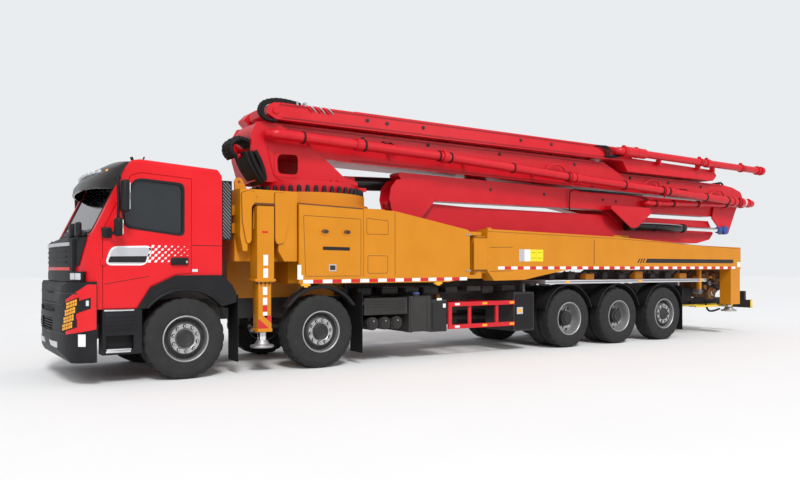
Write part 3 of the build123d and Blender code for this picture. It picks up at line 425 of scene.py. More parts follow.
class Shop:
    """Makes meshes with operators, and hands them over dressed and riding."""

    def __init__(self, finishes: Finishes) -> None:
        """Keep the finishes."""
        self.finishes = finishes

    def cube(self, low: Point, high: Point, bevel: float = 0.0, segments: int = 2) -> Piece:
        """Add a box between two corners, with bevelled edges.

        Args:
            low: lowest corner.
            high: highest corner.
            bevel: edge width, in metres.
            segments: bevel segments.

        Returns:
            The new object, its place in its mesh.
        """
        deselect()
        centre = [(a + b) / 2 for a, b in zip(low, high)]
        size = [abs(b - a) for a, b in zip(low, high)]
        bpy.ops.mesh.primitive_cube_add(size=1, location=centre)
        made = bpy.context.object
        made.scale = size
        bpy.ops.object.transform_apply(location=True, rotation=True, scale=True)
        if bevel > 0:
            self.bevel(made, bevel, segments)
        return made

    def bevel(self, made: Piece, width: float, segments: int = 2) -> None:
        """Round the sharp edges of a piece."""
        deselect()
        made.select_set(True)
        bpy.context.view_layer.objects.active = made
        tool = made.modifiers.new("edge", "BEVEL")
        tool.width = width
        tool.segments = segments
        tool.limit_method = "ANGLE"
        bpy.ops.object.modifier_apply(modifier=tool.name)
        bpy.ops.object.shade_smooth_by_angle(angle=EDGE_SMOOTH)

    def rod(self, start: Point, end: Point, radius: float, sides: int = 20, bevel: float = 0.0,
            tip: float | None = None) -> Piece:
        """Add a round bar between two points, or a cone when tip is given."""
        deselect()
        a, b = Vector(start), Vector(end)
        along = b - a
        bpy.ops.mesh.primitive_cone_add(vertices=sides, radius1=radius, radius2=radius if tip is None else tip,
            depth=along.length, location=(a + b) / 2, rotation=along.to_track_quat("Z", "Y").to_euler())
        made = bpy.context.object
        bpy.ops.object.transform_apply(location=True, rotation=True, scale=True)
        if bevel > 0:
            self.bevel(made, bevel)
        else:
            bpy.ops.object.shade_smooth_by_angle(angle=EDGE_SMOOTH)
        return made

    def new(self, name: str, data: bpy.types.ID) -> Piece:
        """Link a new object over its data, selected and active."""
        deselect()
        made = link(bpy.data.objects.new(name, data))
        made.select_set(True)
        bpy.context.view_layer.objects.active = made
        return made

    def outward(self) -> None:
        """Turn the faces of the mesh in edit mode outward and leave edit mode."""
        bpy.ops.mesh.select_all(action="SELECT")
        bpy.ops.mesh.normals_make_consistent(inside=False)
        bpy.ops.object.mode_set(mode="OBJECT")

    def plate(self, outline: Sequence[Flat], y0: float, y1: float) -> Piece:
        """Add a plate with an X, Z outline between two Y values."""
        return self.prism([(x, y0, z) for x, z in outline], Vector((0, y1 - y0, 0)))

    def prism(self, outline: Sequence[Point], travel: Vector, bevel: float = 0.0) -> Piece:
        """Add a face through points and extrude it along a vector."""
        mesh = bpy.data.meshes.new("outline")
        mesh.from_pydata([tuple(p) for p in outline], [], [tuple(range(len(outline)))])
        made = self.new("outline", mesh)
        bpy.ops.object.mode_set(mode="EDIT")
        bpy.ops.mesh.select_all(action="SELECT")
        bpy.ops.mesh.extrude_region_move(TRANSFORM_OT_translate={"value": tuple(travel)})
        self.outward()
        if bevel > 0:
            self.bevel(made, bevel)
        return made

    def tube(self, points: Sequence[Point], radius: float, order: int = 3, sides: int = 3) -> Piece:
        """Add a smooth tube through points, made a mesh."""
        curve = bpy.data.curves.new("run", "CURVE")
        curve.dimensions = "3D"
        curve.bevel_depth = radius
        curve.bevel_resolution = sides
        curve.resolution_u = 8
        curve.use_fill_caps = True
        spline = curve.splines.new("NURBS")
        spline.points.add(len(points) - 1)
        for slot, point in zip(spline.points, points):
            slot.co = (*point, 1.0)
        spline.order_u = min(order, len(points))
        spline.use_endpoint_u = True
        self.new("run", curve)
        bpy.ops.object.convert(target="MESH")
        bpy.ops.object.shade_smooth_by_angle(angle=TUBE_SMOOTH)
        return bpy.context.object

    def spin(self, profile: Sequence[Flat], centre: Point, steps: int = 64, angle: float = 2 * math.pi) -> Piece:
        """Spin a radius, Y profile about an axle along Y."""
        mesh = bpy.data.meshes.new("profile")
        verts = [(centre[0] + r, centre[1] + y, centre[2]) for r, y in profile]
        mesh.from_pydata(verts, [(i, i + 1) for i in range(len(verts) - 1)], [])
        made = self.new("profile", mesh)
        bpy.ops.object.mode_set(mode="EDIT")
        bpy.ops.mesh.select_all(action="SELECT")
        bpy.ops.mesh.spin(steps=steps, angle=angle, center=centre, axis=(0, 1, 0))
        bpy.ops.mesh.select_all(action="SELECT")
        bpy.ops.mesh.remove_doubles(threshold=WELD_GAP)
        self.outward()
        bpy.ops.object.shade_smooth_by_angle(angle=SPIN_SMOOTH)
        return made

    def solid(self, verts: Sequence[Point], faces: Sequence[tuple[int, ...]], name: str) -> Piece:
        """Add a closed mesh from its points and faces, normals outward."""
        mesh = bpy.data.meshes.new(name)
        mesh.from_pydata([tuple(v) for v in verts], [], list(faces))
        made = self.new(name, mesh)
        bpy.ops.object.mode_set(mode="EDIT")
        self.outward()
        bpy.ops.object.shade_smooth_by_angle(angle=SOLID_SMOOTH)
        return made

    def paint(self, made: Piece, finish: str) -> Piece:
        """Give a piece one finish."""
        made.data.materials.clear()
        made.data.materials.append(self.finishes[finish])
        return made

    def join(self, pieces: Sequence[Piece]) -> Piece:
        """Join pieces into the first one."""
        deselect()
        for piece in pieces:
            piece.select_set(True)
        bpy.context.view_layer.objects.active = pieces[0]
        if len(pieces) > 1:
            bpy.ops.object.join()
        return bpy.context.object

    def place(self, pieces: Sequence[Piece], name: str, body: str = "truck_body", slot: str = "") -> Piece:
        """Join pieces, name the result and let it ride on a body."""
        made = self.join(list(pieces))
        made.name = name
        made.data.name = name
        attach(made, body)
        LOG.info("%s rides on %s", name, body)
        return made

    def copy(self, source: Piece, transform: Matrix) -> Piece:
        """Copy a piece with its own mesh, moved by a matrix."""
        made = source.copy()
        made.data = source.data.copy()
        bpy.context.scene.collection.objects.link(made)
        made.data.transform(transform)
        if transform.determinant() < 0:
            made.data.flip_normals()
        return made


@dataclass
class Studio:
    """Pale floor, soft lights, pale backdrop and the camera."""

    camera_place: Point = (fa(3.056), 10.906, 1.46)
    camera_turn: float = 33.61
    lens: float = 33.4
    shift: float = 0.0355
    sensor: float = 36.0
    floor_size: float = 240
    sky: tuple = ((0.93, 0.95, 1.0, 1.0), 0.62)
    backdrop: tuple = ((0.82, 0.84, 0.86, 1.0), 1.0)
    sun_energy: float = 2.2
    sun_turn: tuple = (-42, 18, 0)
    lamps: tuple = (((16.0, 16.0, 11.0), 9.0, 700.0), ((-9.0, 17.0, 11.0), 9.0, 450.0))
    lamp_aim: tuple = (0, 0, 1.5)

    def build(self) -> None:
        """Set up the scene around the truck."""
        scene = bpy.context.scene
        scene.view_settings.view_transform = "Standard"
        self.camera()
        self.floor()
        self.world()
        self.lights()

    def camera(self) -> None:
        """Add the camera at the recorded place."""
        data = bpy.data.cameras.new("camera")
        data.lens = self.lens
        data.sensor_width = self.sensor
        data.shift_y = self.shift
        data.clip_end = 200.0
        made = link(bpy.data.objects.new("camera", data))
        made.location = self.camera_place
        turn = math.radians(180.0 - self.camera_turn)
        made.rotation_euler = (math.radians(90.0), 0.0, turn)
        bpy.context.scene.camera = made

    def floor(self) -> None:
        """Add the pale floor."""
        deselect()
        bpy.ops.mesh.primitive_plane_add(size=self.floor_size, location=(0, 0, 0))
        made = bpy.context.object
        made.name = "studio_floor"
        floor = Material("studio_floor")
        cloud = floor.noise(0.6, 3.0)
        base = floor.mix(cloud, (0.8, 0.8, 0.79), (0.83, 0.83, 0.82))
        made.data.materials.append(floor.finish(Base_Color=base, Roughness=0.9))

    def world(self) -> None:
        """Light the scene with a pale sky."""
        world = bpy.data.worlds.new("studio")
        bpy.context.scene.world = world
        world.use_nodes = True
        tree = world.node_tree
        tree.nodes.clear()
        out = tree.nodes.new("ShaderNodeOutputWorld")
        soft = tree.nodes.new("ShaderNodeBackground")
        soft.inputs[0].default_value, soft.inputs[1].default_value = self.sky
        seen = tree.nodes.new("ShaderNodeBackground")
        seen.inputs[0].default_value, seen.inputs[1].default_value = self.backdrop
        rays = tree.nodes.new("ShaderNodeLightPath")
        mix = tree.nodes.new("ShaderNodeMixShader")
        tree.links.new(rays.outputs["Is Camera Ray"], mix.inputs[0])
        tree.links.new(soft.outputs[0], mix.inputs[1])
        tree.links.new(seen.outputs[0], mix.inputs[2])
        tree.links.new(mix.outputs[0], out.inputs[0])

    def lights(self) -> None:
        """Add a soft sun and two large lamps."""
        sun = bpy.data.lights.new("sun", "SUN")
        sun.energy = self.sun_energy
        sun.angle = math.radians(14)
        made = link(bpy.data.objects.new("sun", sun))
        made.rotation_euler = [math.radians(turn) for turn in self.sun_turn]
        for place, size, energy in self.lamps:
            data = bpy.data.lights.new("soft_lamp", "AREA")
            data.size = size
            data.energy = energy
            lamp = link(bpy.data.objects.new("soft_lamp", data))
            lamp.location = place
            lamp.rotation_euler = (Vector(self.lamp_aim) - Vector(place)).to_track_quat("-Z", "Y").to_euler()


class Coats:
    """Which finish and slot each CAD node takes."""

    ROWS = (
        ("cab_red", "cab_red", ("cab_shell", "cab_door_left", "cab_door_right")),
        ("tinted_glass", "cab_glazing", ("windscreen", "door_glass_left", "door_glass_right")),
        ("cab_trim", "black_plastic", ("front_mask", "mirror_left", "mirror_right", "cab_interior", "bumper",
            "mudguards", "cab_steps")),
        ("smoked_plastic", "visor_smoke", ("sun_visor",)),
        ("body_orange", "body_orange", ("body_box", "front_outrigger_left", "front_outrigger_right",
            "rear_outrigger_left", "rear_outrigger_right", "side_panel_left", "side_panel_right")),
        ("boom_red", "boom_red", ("boom_1", "boom_2", "boom_3", "boom_4", "boom_5", "boom_6", "turret", "side_guards")),
        ("cylinder_black", "black_paint", ("lift_cylinder_barrel", "boom_2_cylinder")),
        ("bright_chrome", "chrome_rod", ("lift_cylinder_rod", "front_leg_left", "front_leg_right", "rear_leg_left",
            "rear_leg_right")),
        ("chassis_black", "chassis_black",
            ("chassis_frame", "front_axles", "rear_axles", "underrun", "knuckle_1_left", "knuckle_1_right",
            "knuckle_2_left", "knuckle_2_right", "chassis_boxes")),
        ("deck_aluminium", "tread_plate", ("walkways",)),
        ("engine_grey", "engine_iron", ("engine",)),
        ("machine_grey", "chassis_black", ("pump_unit",)),
        ("machine_grey", "pump_caked", ("hopper", "hopper_grate")),
    )

    def __init__(self, finishes: Finishes) -> None:
        """Keep the finishes."""
        self.finishes = finishes

    def build(self) -> None:
        """Dress every node of the frame."""
        for slot, finish, names in self.ROWS:
            for name in names:
                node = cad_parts[name]
                for place in node.material_slots:
                    place.material = self.finishes[finish]
                if not node.material_slots:
                    node.data.materials.append(self.finishes[finish])
                LOG.info("%s takes %s from %s", name, finish, slot)


@dataclass
class WheelSet:
    """Ten wheels: steered, twin and tag axles, each tyre with tread and each rim with studs."""

    shop: Shop
    radius: float = 0.535
    outer_y: float = 1.235
    single_width: float = 0.385
    twin_width: float = 0.31
    twin_pitch: float = 0.34
    stud_circle: float = 0.1675
    steps: int = 96
    nuts: int = 10
    vents: int = 10
    turn: float = 0.37

    def build(self) -> None:
        """Make one wheel of each kind, then a copy for each place."""
        kinds = {"steer": self.wheel(False, False), "twin": self.wheel(True, True), "tag": self.wheel(False, False)}
        for axle, kind in ((1, "steer"), (2, "steer"), (3, "twin"), (4, "twin"), (5, "tag")):
            for side in Side:
                name = f"wheel_{axle}_{side.word}"
                low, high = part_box(name)
                middle = Vector(((low[0] + high[0]) / 2, 0.0, (low[2] + high[2]) / 2))
                flip = Matrix.Scale(side.value, 4, (0, 1, 0))
                spin = Matrix.Rotation(self.turn * axle, 4, "Y")
                made = self.shop.copy(kinds[kind], Matrix.Translation(middle) @ flip @ spin)
                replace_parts(self.shop.place([made], f"{name}_dressed", f"{name}_body", "tyre_rubber"), name)
        for made in kinds.values():
            bpy.data.objects.remove(made)

    def wheel(self, twin: bool, deep: bool) -> Piece:
        """Make one left wheel about the origin, its outer face at the outer Y.

        Args:
            twin: two tyres instead of one.
            deep: a dished rim instead of a bulging one.

        Returns:
            The joined wheel.
        """
        width = self.twin_width if twin else self.single_width
        pieces = [self.tyre(self.outer_y, width), self.rim(self.outer_y, width, deep)]
        if twin:
            pieces += [self.tyre(self.outer_y - self.twin_pitch, width),
                self.rim(self.outer_y - self.twin_pitch, width, False, bare=True)]
        pieces.extend(self.studs(deep))
        return self.shop.join(pieces)

    def tyre(self, outer: float, width: float) -> Piece:
        """Spin a tyre with four grooves, then notch its shoulders."""
        r, w = self.radius, width
        half = [(0.3, 0.03), (0.305, 0.012), (0.33, 0.005), (0.36, 0.0), (0.42, -0.003), (0.452, 0.0), (0.456, 0.003),
            (0.476, 0.004), (0.48, 0.008), (0.505, 0.014), (0.52, 0.024), (0.529, 0.036), (r - 0.001, 0.045),
            (r, 0.075), (r, w * 0.27), (r - 0.014, w * 0.275), (r - 0.014, w * 0.305), (r, w * 0.31), (r, w * 0.43),
            (r - 0.014, w * 0.435), (r - 0.014, w * 0.465), (r, w * 0.47)]
        half = [(a, max(b, 0.0)) for a, b in half]
        profile = [(a, outer - b) for a, b in half] + [(a, outer - w + b) for a, b in reversed(half)]
        made = self.shop.spin(profile, (0.0, 0.0, 0.0), self.steps)
        for vertex in made.data.vertices:
            x, y, z = vertex.co
            reach = math.hypot(x, z)
            step = round(math.atan2(z, x) / (2 * math.pi) * self.steps) % 4
            edge = min(abs(y - outer), abs(y - outer + w))
            if reach > 0.49 and edge < w * 0.29 and step == 0:
                sink = 0.016 if reach > 0.53 else 0.008
                vertex.co = (x * (1 - sink / reach), y, z * (1 - sink / reach))
        return self.shop.paint(made, "tyre_rubber_worn")

    def rim(self, outer: float, width: float, deep: bool, bare: bool = False) -> Piece:
        """Spin a steel rim with its disc and hub.

        Args:
            outer: Y of the outer face.
            width: tyre width.
            deep: a dished disc.
            bare: barrel only, for the inner wheel of a pair.

        Returns:
            The rim.
        """
        barrel = [(0.296, -width + 0.02), (0.302, -width + 0.005), (0.296, -width), (0.286, -width + 0.006),
            (0.278, -width + 0.05), (0.268, -width * 0.62)]
        lip = [(0.272, -0.06), (0.281, -0.03), (0.286, -0.006), (0.294, 0.001), (0.304, -0.002), (0.306, -0.012),
            (0.302, -0.02)]

        def turned(profile: Sequence[Flat], finish: str, steps: int = 64) -> Piece:
            """Return a turned part of this rim."""
            return self.shop.paint(self.shop.spin([(r, outer + y) for r, y in profile], (0, 0, 0), steps), finish)

        pieces = [turned((*barrel, *lip), "rim_steel")]
        if not bare:
            disc, hub = self.faces(deep)
            split = 0 if deep else 6
            pieces.append(turned(disc[split:], "rim_steel" if deep else "polished_disc"))
            if split:
                # the disc's recessed channel is painted near black as its shade
                pieces.append(turned(disc[:split + 1], "channel_grey"))
            pieces.append(turned(hub, "dark_hub", 40))
            pieces.extend(self.holes(outer, deep))
        return self.shop.join(pieces)

    def faces(self, deep: bool) -> tuple[list[Flat], list[Flat]]:
        """Return the radius, Y profiles of the disc and of the hub."""
        if deep:
            disc = [(0.27, -0.12), (0.262, -0.19), (0.25, -0.205), (0.228, -0.2), (0.2, -0.19), (0.14, -0.188)]
            hub = [(0.142, -0.19), (0.138, -0.1), (0.13, -0.07), (0.105, -0.062), (0.1, -0.04), (0.07, -0.034),
                (0.0, -0.034)]
            return disc, hub
        disc = [(0.274, -0.055), (0.268, -0.085), (0.255, -0.1), (0.24, -0.096), (0.222, -0.06), (0.208, -0.034),
            (0.196, -0.026), (0.14, -0.024), (0.132, -0.03), (0.11, -0.032)]
        hub = [(0.118, -0.03), (0.114, -0.004), (0.106, 0.004), (0.078, 0.006), (0.07, 0.0), (0.0, 0.002)]
        return disc, hub

    def holes(self, outer: float, deep: bool) -> list[Piece]:
        """Make the ventilation holes of a disc as dark discs: painted shade where the holes open."""
        radius, y = (0.232, -0.206) if deep else (0.238, -0.098)
        made = []
        for k in range(self.vents):
            angle = math.tau * (k + 0.5) / self.vents
            x, z = radius * math.cos(angle), radius * math.sin(angle)
            made.append(self.shop.paint(self.shop.rod((x, outer + y, z), (x, outer + y + 0.014, z), 0.02, 14),
                "dark_hub"))
        return made

    def studs(self, deep: bool) -> list[Piece]:
        """Make the wheel nuts with their studs."""
        y = self.outer_y + (-0.19 if deep else -0.026)
        made = []
        for k in range(self.nuts):
            angle = math.tau * k / self.nuts
            x, z = self.stud_circle * math.cos(angle), self.stud_circle * math.sin(angle)
            made += [self.shop.paint(self.shop.rod((x, y, z), (x, y + 0.006, z), 0.026, 18), "dark_hub"),
                self.shop.paint(self.shop.rod((x, y + 0.005, z), (x, y + 0.03, z), 0.0185, 6, 0.002), "chrome_rod"),
                self.shop.paint(self.shop.rod((x, y + 0.03, z), (x, y + 0.037, z), 0.009, 10), "dark_hub")]
        return made


def rounded(points: Sequence[Flat], radius: float, steps: int = 4) -> list[Flat]:
    """Return an outline with its corners cut by short arcs.

    Args:
        points: the corners in order.
        radius: distance from a corner where its arc starts.
        steps: points per arc.

    Returns:
        The rounded outline.
    """
    made = []
    for k, corner in enumerate(points):
        here = Vector(corner)
        before = Vector(points[k - 1]) - here
        after = Vector(points[(k + 1) % len(points)]) - here
        reach = min(radius, before.length * 0.45, after.length * 0.45)
        start, end = here + before.normalized() * reach, here + after.normalized() * reach
        for step in range(steps + 1):
            t = step / steps
            made.append(tuple(start * (1 - t) ** 2 + here * 2 * t * (1 - t) + end * t * t))
    return made


def band_faces(count: int) -> list[tuple[int, ...]]:
    """Return the faces of a band: an inner and an outer loop on one side, then the same two on the other."""
    faces = []
    for k in range(count):
        n = (k + 1) % count
        a, b, c, d = k, n, count + n, count + k
        faces += [(a, b, c, d), (2 * count + a, 2 * count + d, 2 * count + c, 2 * count + b),
            (d, c, 2 * count + c, 2 * count + d), (b, a, 2 * count + a, 2 * count + b)]
    return faces


def grown(points: Sequence[Flat], amount: float) -> list[Flat]:
    """Return an outline moved outwards from its middle along its corners' bisectors."""
    made = []
    area = sum(a[0] * b[1] - b[0] * a[1] for a, b in zip(points, [*points[1:], points[0]]))
    sign = 1.0 if area > 0 else -1.0
    for k, corner in enumerate(points):
        here = Vector(corner)
        one = (here - Vector(points[k - 1])).normalized()
        two = (Vector(points[(k + 1) % len(points)]) - here).normalized()
        normal = Vector((one.y + two.y, -one.x - two.x)) * sign
        normal.normalize()
        half = max(0.35, normal.dot(Vector((one.y, -one.x)) * sign))
        made.append(tuple(here + normal * (amount / half)))
    return made


@dataclass
class Trim:
    """Shared ways to lay thin pieces on the truck's sides."""

    shop: Shop

    def patch(self, outline: Sequence[Flat], side: Side, y: float, finish: str, lift: float = 0.003) -> Piece:
        """Lay a thin plate with an X, Z outline, X from the front axle, on a side face at Y."""
        points = [(fa(x), z) for x, z in outline]
        made = self.shop.plate(points, side.value * y, side.value * (y + lift))
        return self.shop.paint(made, finish)

    def border(self, outline: Sequence[Flat], side: Side, y: float, width: float, finish: str,
            lift: float = 0.006) -> Piece:
        """Lay a thin closed band, its inner edge on an X, Z outline."""
        inner = [(fa(x), z) for x, z in outline]
        outer = grown(inner, width)
        return self.shop.paint(self.ring(inner, outer, side.value * (y - 0.002), side.value * (y + lift)), finish)

    def ring(self, inner: Sequence[Flat], outer: Sequence[Flat], y0: float, y1: float) -> Piece:
        """Make a band between two X, Z outlines and two Y values."""
        verts = [(x, y, z) for y in (y0, y1) for loop in (inner, outer) for x, z in loop]
        return self.shop.solid(verts, band_faces(len(inner)), "band")

    def rod(self, finish: str, start: Point, end: Point, *rest: float) -> Piece:
        """Add a painted bar, X from the front axle, the rest as Shop.rod takes it."""
        return self.shop.paint(self.shop.rod(ahead(start), ahead(end), *rest), finish)

    def cube(self, finish: str, low: Point, high: Point, *rest: float) -> Piece:
        """Add a painted box, X from the front axle, the rest as Shop.cube takes it."""
        return self.shop.paint(self.shop.cube(ahead(low), ahead(high), *rest), finish)

    def tube(self, finish: str, points: Sequence[Point], *rest: float) -> Piece:
        """Add a painted tube, X from the front axle, the rest as Shop.tube takes it."""
        return self.shop.paint(self.shop.tube([ahead(point) for point in points], *rest), finish)

    def tile(self, x0: float, x1: float, z0: float, z1: float, side: Side, y: float, finish: str,
            lift: float = 0.003) -> Piece:
        """Lay a thin upright rectangle on a side face at Y, X from the front axle."""
        return self.patch([(x0, z0), (x0, z1), (x1, z1), (x1, z0)], side, y, finish, lift)


@dataclass
class CabDress(Trim):
    """Trim, lamps, marks and glass frames of the cab."""

    side_y: float = 1.2
    badge: tuple = ((0.985, 1.52), (0.915, 1.715), (0.45, 1.73), (0.52, 1.52))
    window: tuple = ((0.76, 1.99), (0.03, 1.9), (0.03, 2.56), (0.56, 2.59), (0.64, 2.57), (0.8, 2.3))
    plan: tuple = ((1.11, 1.2), (1.2, 1.115), (1.285, 0.905), (1.345, 0.5), (1.37, 0.0))
    bumper: tuple = ((1.106, 1.238), (1.27, 1.175), (1.39, 1.0), (1.455, 0.7), (1.49, 0.35), (1.5, 0.0))
    bracket_x: tuple = (1.398, 1.402)
    bracket_y: tuple = (1.085, 1.125)
    bracket_z: tuple = (0.775, 0.965)
    bracket_end: float = 1.31
    bumper_weld: float = 1e-05
    arch_radius: float = 0.652
    axle_z: float = 0.535
    skin_reach: float = 0.15
    skin_limit: float = 0.05

    def build(self) -> None:
        """Build every piece of the cab's dress."""
        for side in Side:
            self.door(side)
            self.rear_quarter(side)
            self.corner(side)
            self.arch(side)
            self.steps(side)
            self.mirrors(side)
        self.face()
        self.screen()
        self.visor()
        self.bumper_shell()

    def bumper_shell(self) -> None:
        """Copy the bumper with the ends of its inner brackets drawn back behind the skin."""
        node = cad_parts["bumper"]
        mesh = node.data.copy()
        mesh.transform(node.matrix_world)
        work = bmesh.new()
        work.from_mesh(mesh)
        bmesh.ops.remove_doubles(work, verts=work.verts, dist=self.bumper_weld)
        (x0, x1), (y0, y1), (z0, z1) = self.bracket_x, self.bracket_y, self.bracket_z
        drawn = 0
        for vert in work.verts:
            x, y, z = vert.co
            if fa(x0) < x < fa(x1) and y0 < abs(y) < y1 and z0 < z < z1:
                vert.co.x = fa(self.bracket_end)
                drawn += 1
        work.to_mesh(mesh)
        work.free()
        LOG.info("bumper: %d bracket corners drawn back", drawn)
        made = self.shop.paint(link(bpy.data.objects.new("bumper_shell", mesh)), "black_plastic")
        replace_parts(self.shop.place([made], "bumper_shell", slot="cab_trim"), "bumper")

    def curve(self, points: Sequence[Flat], t: float) -> tuple[Vector, Vector]:
        """Return the point and the outward normal at a place along a mirrored plan curve.

        Args:
            points: X, Y points of the left half, from the rear to the middle.
            t: 0 at the left rear, the count less one at the middle, twice that at the right rear.

        Returns:
            The point and the unit normal, X from the front axle.
        """
        whole = [Vector(p) for p in points] + [Vector((x, -y)) for x, y in reversed(points[:-1])]
        last = len(whole) - 1
        k = max(0, min(int(t), last - 1))
        u = t - k
        p1, p2 = whole[k], whole[k + 1]
        bends = self.bends(whole)
        span = (p2 - p1).length
        place = p1 * (1 - u) + p2 * u + ((1 - u) ** 3 - (1 - u)) * bends[k] * span ** 2 / 6 + (u ** 3 - u) * bends[k
            + 1] * span ** 2 / 6
        slope = (p2 - p1) / span + ((1 - 3 * (1 - u) ** 2) * bends[k] + (3 * u ** 2 - 1) * bends[k + 1]) * span / 6
        normal = Vector((-slope.y, slope.x)).normalized()
        return place, normal

    def rise(self, node: str, place: Vector, normal: Vector, z: float) -> float:
        """Return how far a node's surface lies outside a plan point, 0 when it is far off."""
        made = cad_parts[node]
        turn = made.matrix_world.inverted()
        reach = self.skin_reach
        start = turn @ Vector((fa(place.x) + normal.x * reach, place.y + normal.y * reach, z))
        ray = turn.to_3x3() @ Vector((-normal.x, -normal.y, 0.0))
        found, where, _, _ = made.ray_cast(start, ray)
        gap = reach - (where - start).length if found else 0.0
        return gap if abs(gap) < self.skin_limit else 0.0

    def bends(self, whole: Sequence[Vector]) -> list[Vector]:
        """Return the second derivatives of the smooth curve through all points, none at its ends."""
        count = len(whole)
        spans = [(b - a).length for a, b in zip(whole, whole[1:])]
        made = [Vector((0.0, 0.0)) for _ in whole]
        for _ in range(60):
            for k in range(1, count - 1):
                pull = ((whole[k + 1] - whole[k]) / spans[k] - (whole[k] - whole[k - 1]) / spans[k - 1]) * 6
                made[k] = (pull - made[k - 1] * spans[k - 1] - made[k + 1] * spans[k]) / (2 * (spans[k - 1] + spans[k]))
        return made

    def wall(self, points: Sequence[Flat], t0: float, t1: float, z0: Height, z1: Height, near: float, far: float,
            finish: str, steps: int = 12, skin: str = "") -> Piece:
        """Make a curved wall that follows a plan curve between two heights.

        Args:
            points: the plan curve.
            t0: start along the curve.
            t1: end along the curve.
            z0: lower height, or a function of the place along the curve.
            z1: upper height, likewise.
            near: inner distance from the curve.
            far: outer distance from the curve.
            finish: the finish's name.
            steps: pieces along the curve.
            skin: the node whose surface the wall lies on, if any.

        Returns:
            The wall.
        """
        verts, faces = [], []
        for step in range(steps + 1):
            place, normal = self.curve(points, t0 + (t1 - t0) * step / steps)
            low, high = (height(t0 + (t1 - t0) * step / steps) if callable(height) else height for height in (z0, z1))
            for off, z in ((near, low), (far, low), (far, high), (near, high)):
                x, y = place + normal * (off + (self.rise(skin, place, normal, z) if skin else 0.0))
                verts.append((fa(x), y, z))
        for step in range(steps):
            a, b = 4 * step, 4 * step + 4
            for k in range(4):
                n = (k + 1) % 4
                faces.append((a + k, a + n, b + n, b + k))
        faces.append((0, 1, 2, 3))
        end = 4 * steps
        faces.append((end + 3, end + 2, end + 1, end))
        return self.shop.paint(self.shop.solid(verts, faces, "wall"), finish)

    def door(self, side: Side) -> None:
        """Dress a door: badge, checks, handle, window rubber and a black line painted as the crease's shadow."""
        y, shop = self.side_y, self.shop
        outline = rounded(self.badge, 0.06)
        pieces = [self.patch(*row) for row in ((grown(outline, 0.022), side, y, "reflective_white", 0.003),
            (outline, side, y, "silver_trim", 0.005),
            (rounded([(0.972, 1.535), (0.945, 1.61), (0.49, 1.618), (0.515, 1.535)], 0.02), side, y, "black_paint",
            0.007))]
        for column in range(13):
            for row in range(6):
                if (column + row) % 2:
                    continue
                size = 0.036 * (1.0 - column / 17.0)
                x, z = 0.475 - column * 0.042, 1.535 + row * 0.038 + column * 0.0012
                pieces.append(self.patch([(x + 0.012, z), (x, z + size), (x - size, z + size), (x - size + 0.012, z)],
                    side, y, "reflective_white", 0.003))
        handle = shop.cube((fa(-0.035), side.value * y, 1.505), (fa(0.19), side.value * (y + 0.034), 1.602), 0.01)
        pieces += [shop.paint(handle, "black_plastic"),
            self.patch([(0.0, 1.53), (-0.02, 1.53), (-0.02, 1.56), (0.0, 1.56)], side, y + 0.034, "silver_trim")]
        inner = [(fa(x), z) for x, z in rounded(grown(self.window, -0.012), 0.075, 5)]
        outer = [(fa(x), z) for x, z in rounded(grown(self.window, 0.02), 0.085, 5)]
        # the thin slanted black line is a painted shadow of the door's crease
        pieces += [shop.paint(self.ring(inner, outer, side.value * (y - 0.03), side.value * (y + 0.005)),
            "black_plastic"), self.patch([(1.015, 1.262), (1.015, 1.268), (0.46, 1.362), (0.46, 1.356)], side, y,
            "black_paint", 0.002)]
        shop.place(pieces, f"door_marks_{side.word}", f"cab_door_{side.word}_body", "cab_red")

    def rear_quarter(self, side: Side) -> None:
        """Dress the quarter behind a door: seams, marks, the ribbed intake."""
        y, shop, s = self.side_y, self.shop, side.value
        pieces = [self.patch([(-0.087, 1.762), (-0.087, 1.77), (-0.498, 1.768), (-0.498, 1.76)], side, y, "black_paint",
            0.002), self.tile(-0.09, -0.165, 1.415, 1.45, side, y, "clear_lens", 0.006)]
        shop.place(pieces, f"quarter_marks_{side.word}", slot="cab_red")
        ribs = []
        for k in range(17):
            z = 1.86 + k * 0.048
            low, high = max(z - 0.07, 1.865), min(z + 0.07, 2.635)
            if high - low < 0.02:
                continue
            x0, x1 = (-0.635 + 0.13 * (level - z + 0.07) / 0.14 for level in (low, high))
            ribs.append(self.rod("rib_grey", (x0, s * 1.193, low), (x1, s * 1.193, high), 0.0085, 6))
        intake = [(-0.502, 1.852), (-0.502, 2.648), (-0.638, 2.648), (-0.638, 1.852)]
        ribs += [self.patch(intake, side, 1.19, "black_plastic", 0.001),
            self.border(grown(intake, -0.012), side, 1.19, 0.014, "black_plastic", 0.012)]
        shop.place(ribs, f"intake_ribs_{side.word}", slot="chassis_black")

    def corner(self, side: Side) -> None:
        """Dress a bumper corner: red panel, lamp stack in its mesh, black box and blank plate."""
        def at(t: float) -> float:
            """Return the place on this side of the bumper's curve."""
            return t if side is Side.LEFT else 10 - t

        def lay(t0: float, t1: float, z0: Height, z1: Height, far: float, finish: str, steps: int = 8,
                skin: str = "bumper") -> None:
            """Add a wall on this corner."""
            pieces.append(self.wall(self.bumper, at(t0), at(t1), z0, z1, -0.012, far, finish, steps, skin))

        def slope(level: float, fall: float, start: float = 0.0) -> Callable[[float], float]:
            """Return a height that falls away from the corner's rear."""
            return lambda t: level - fall * max(0.0, at(t) - start)

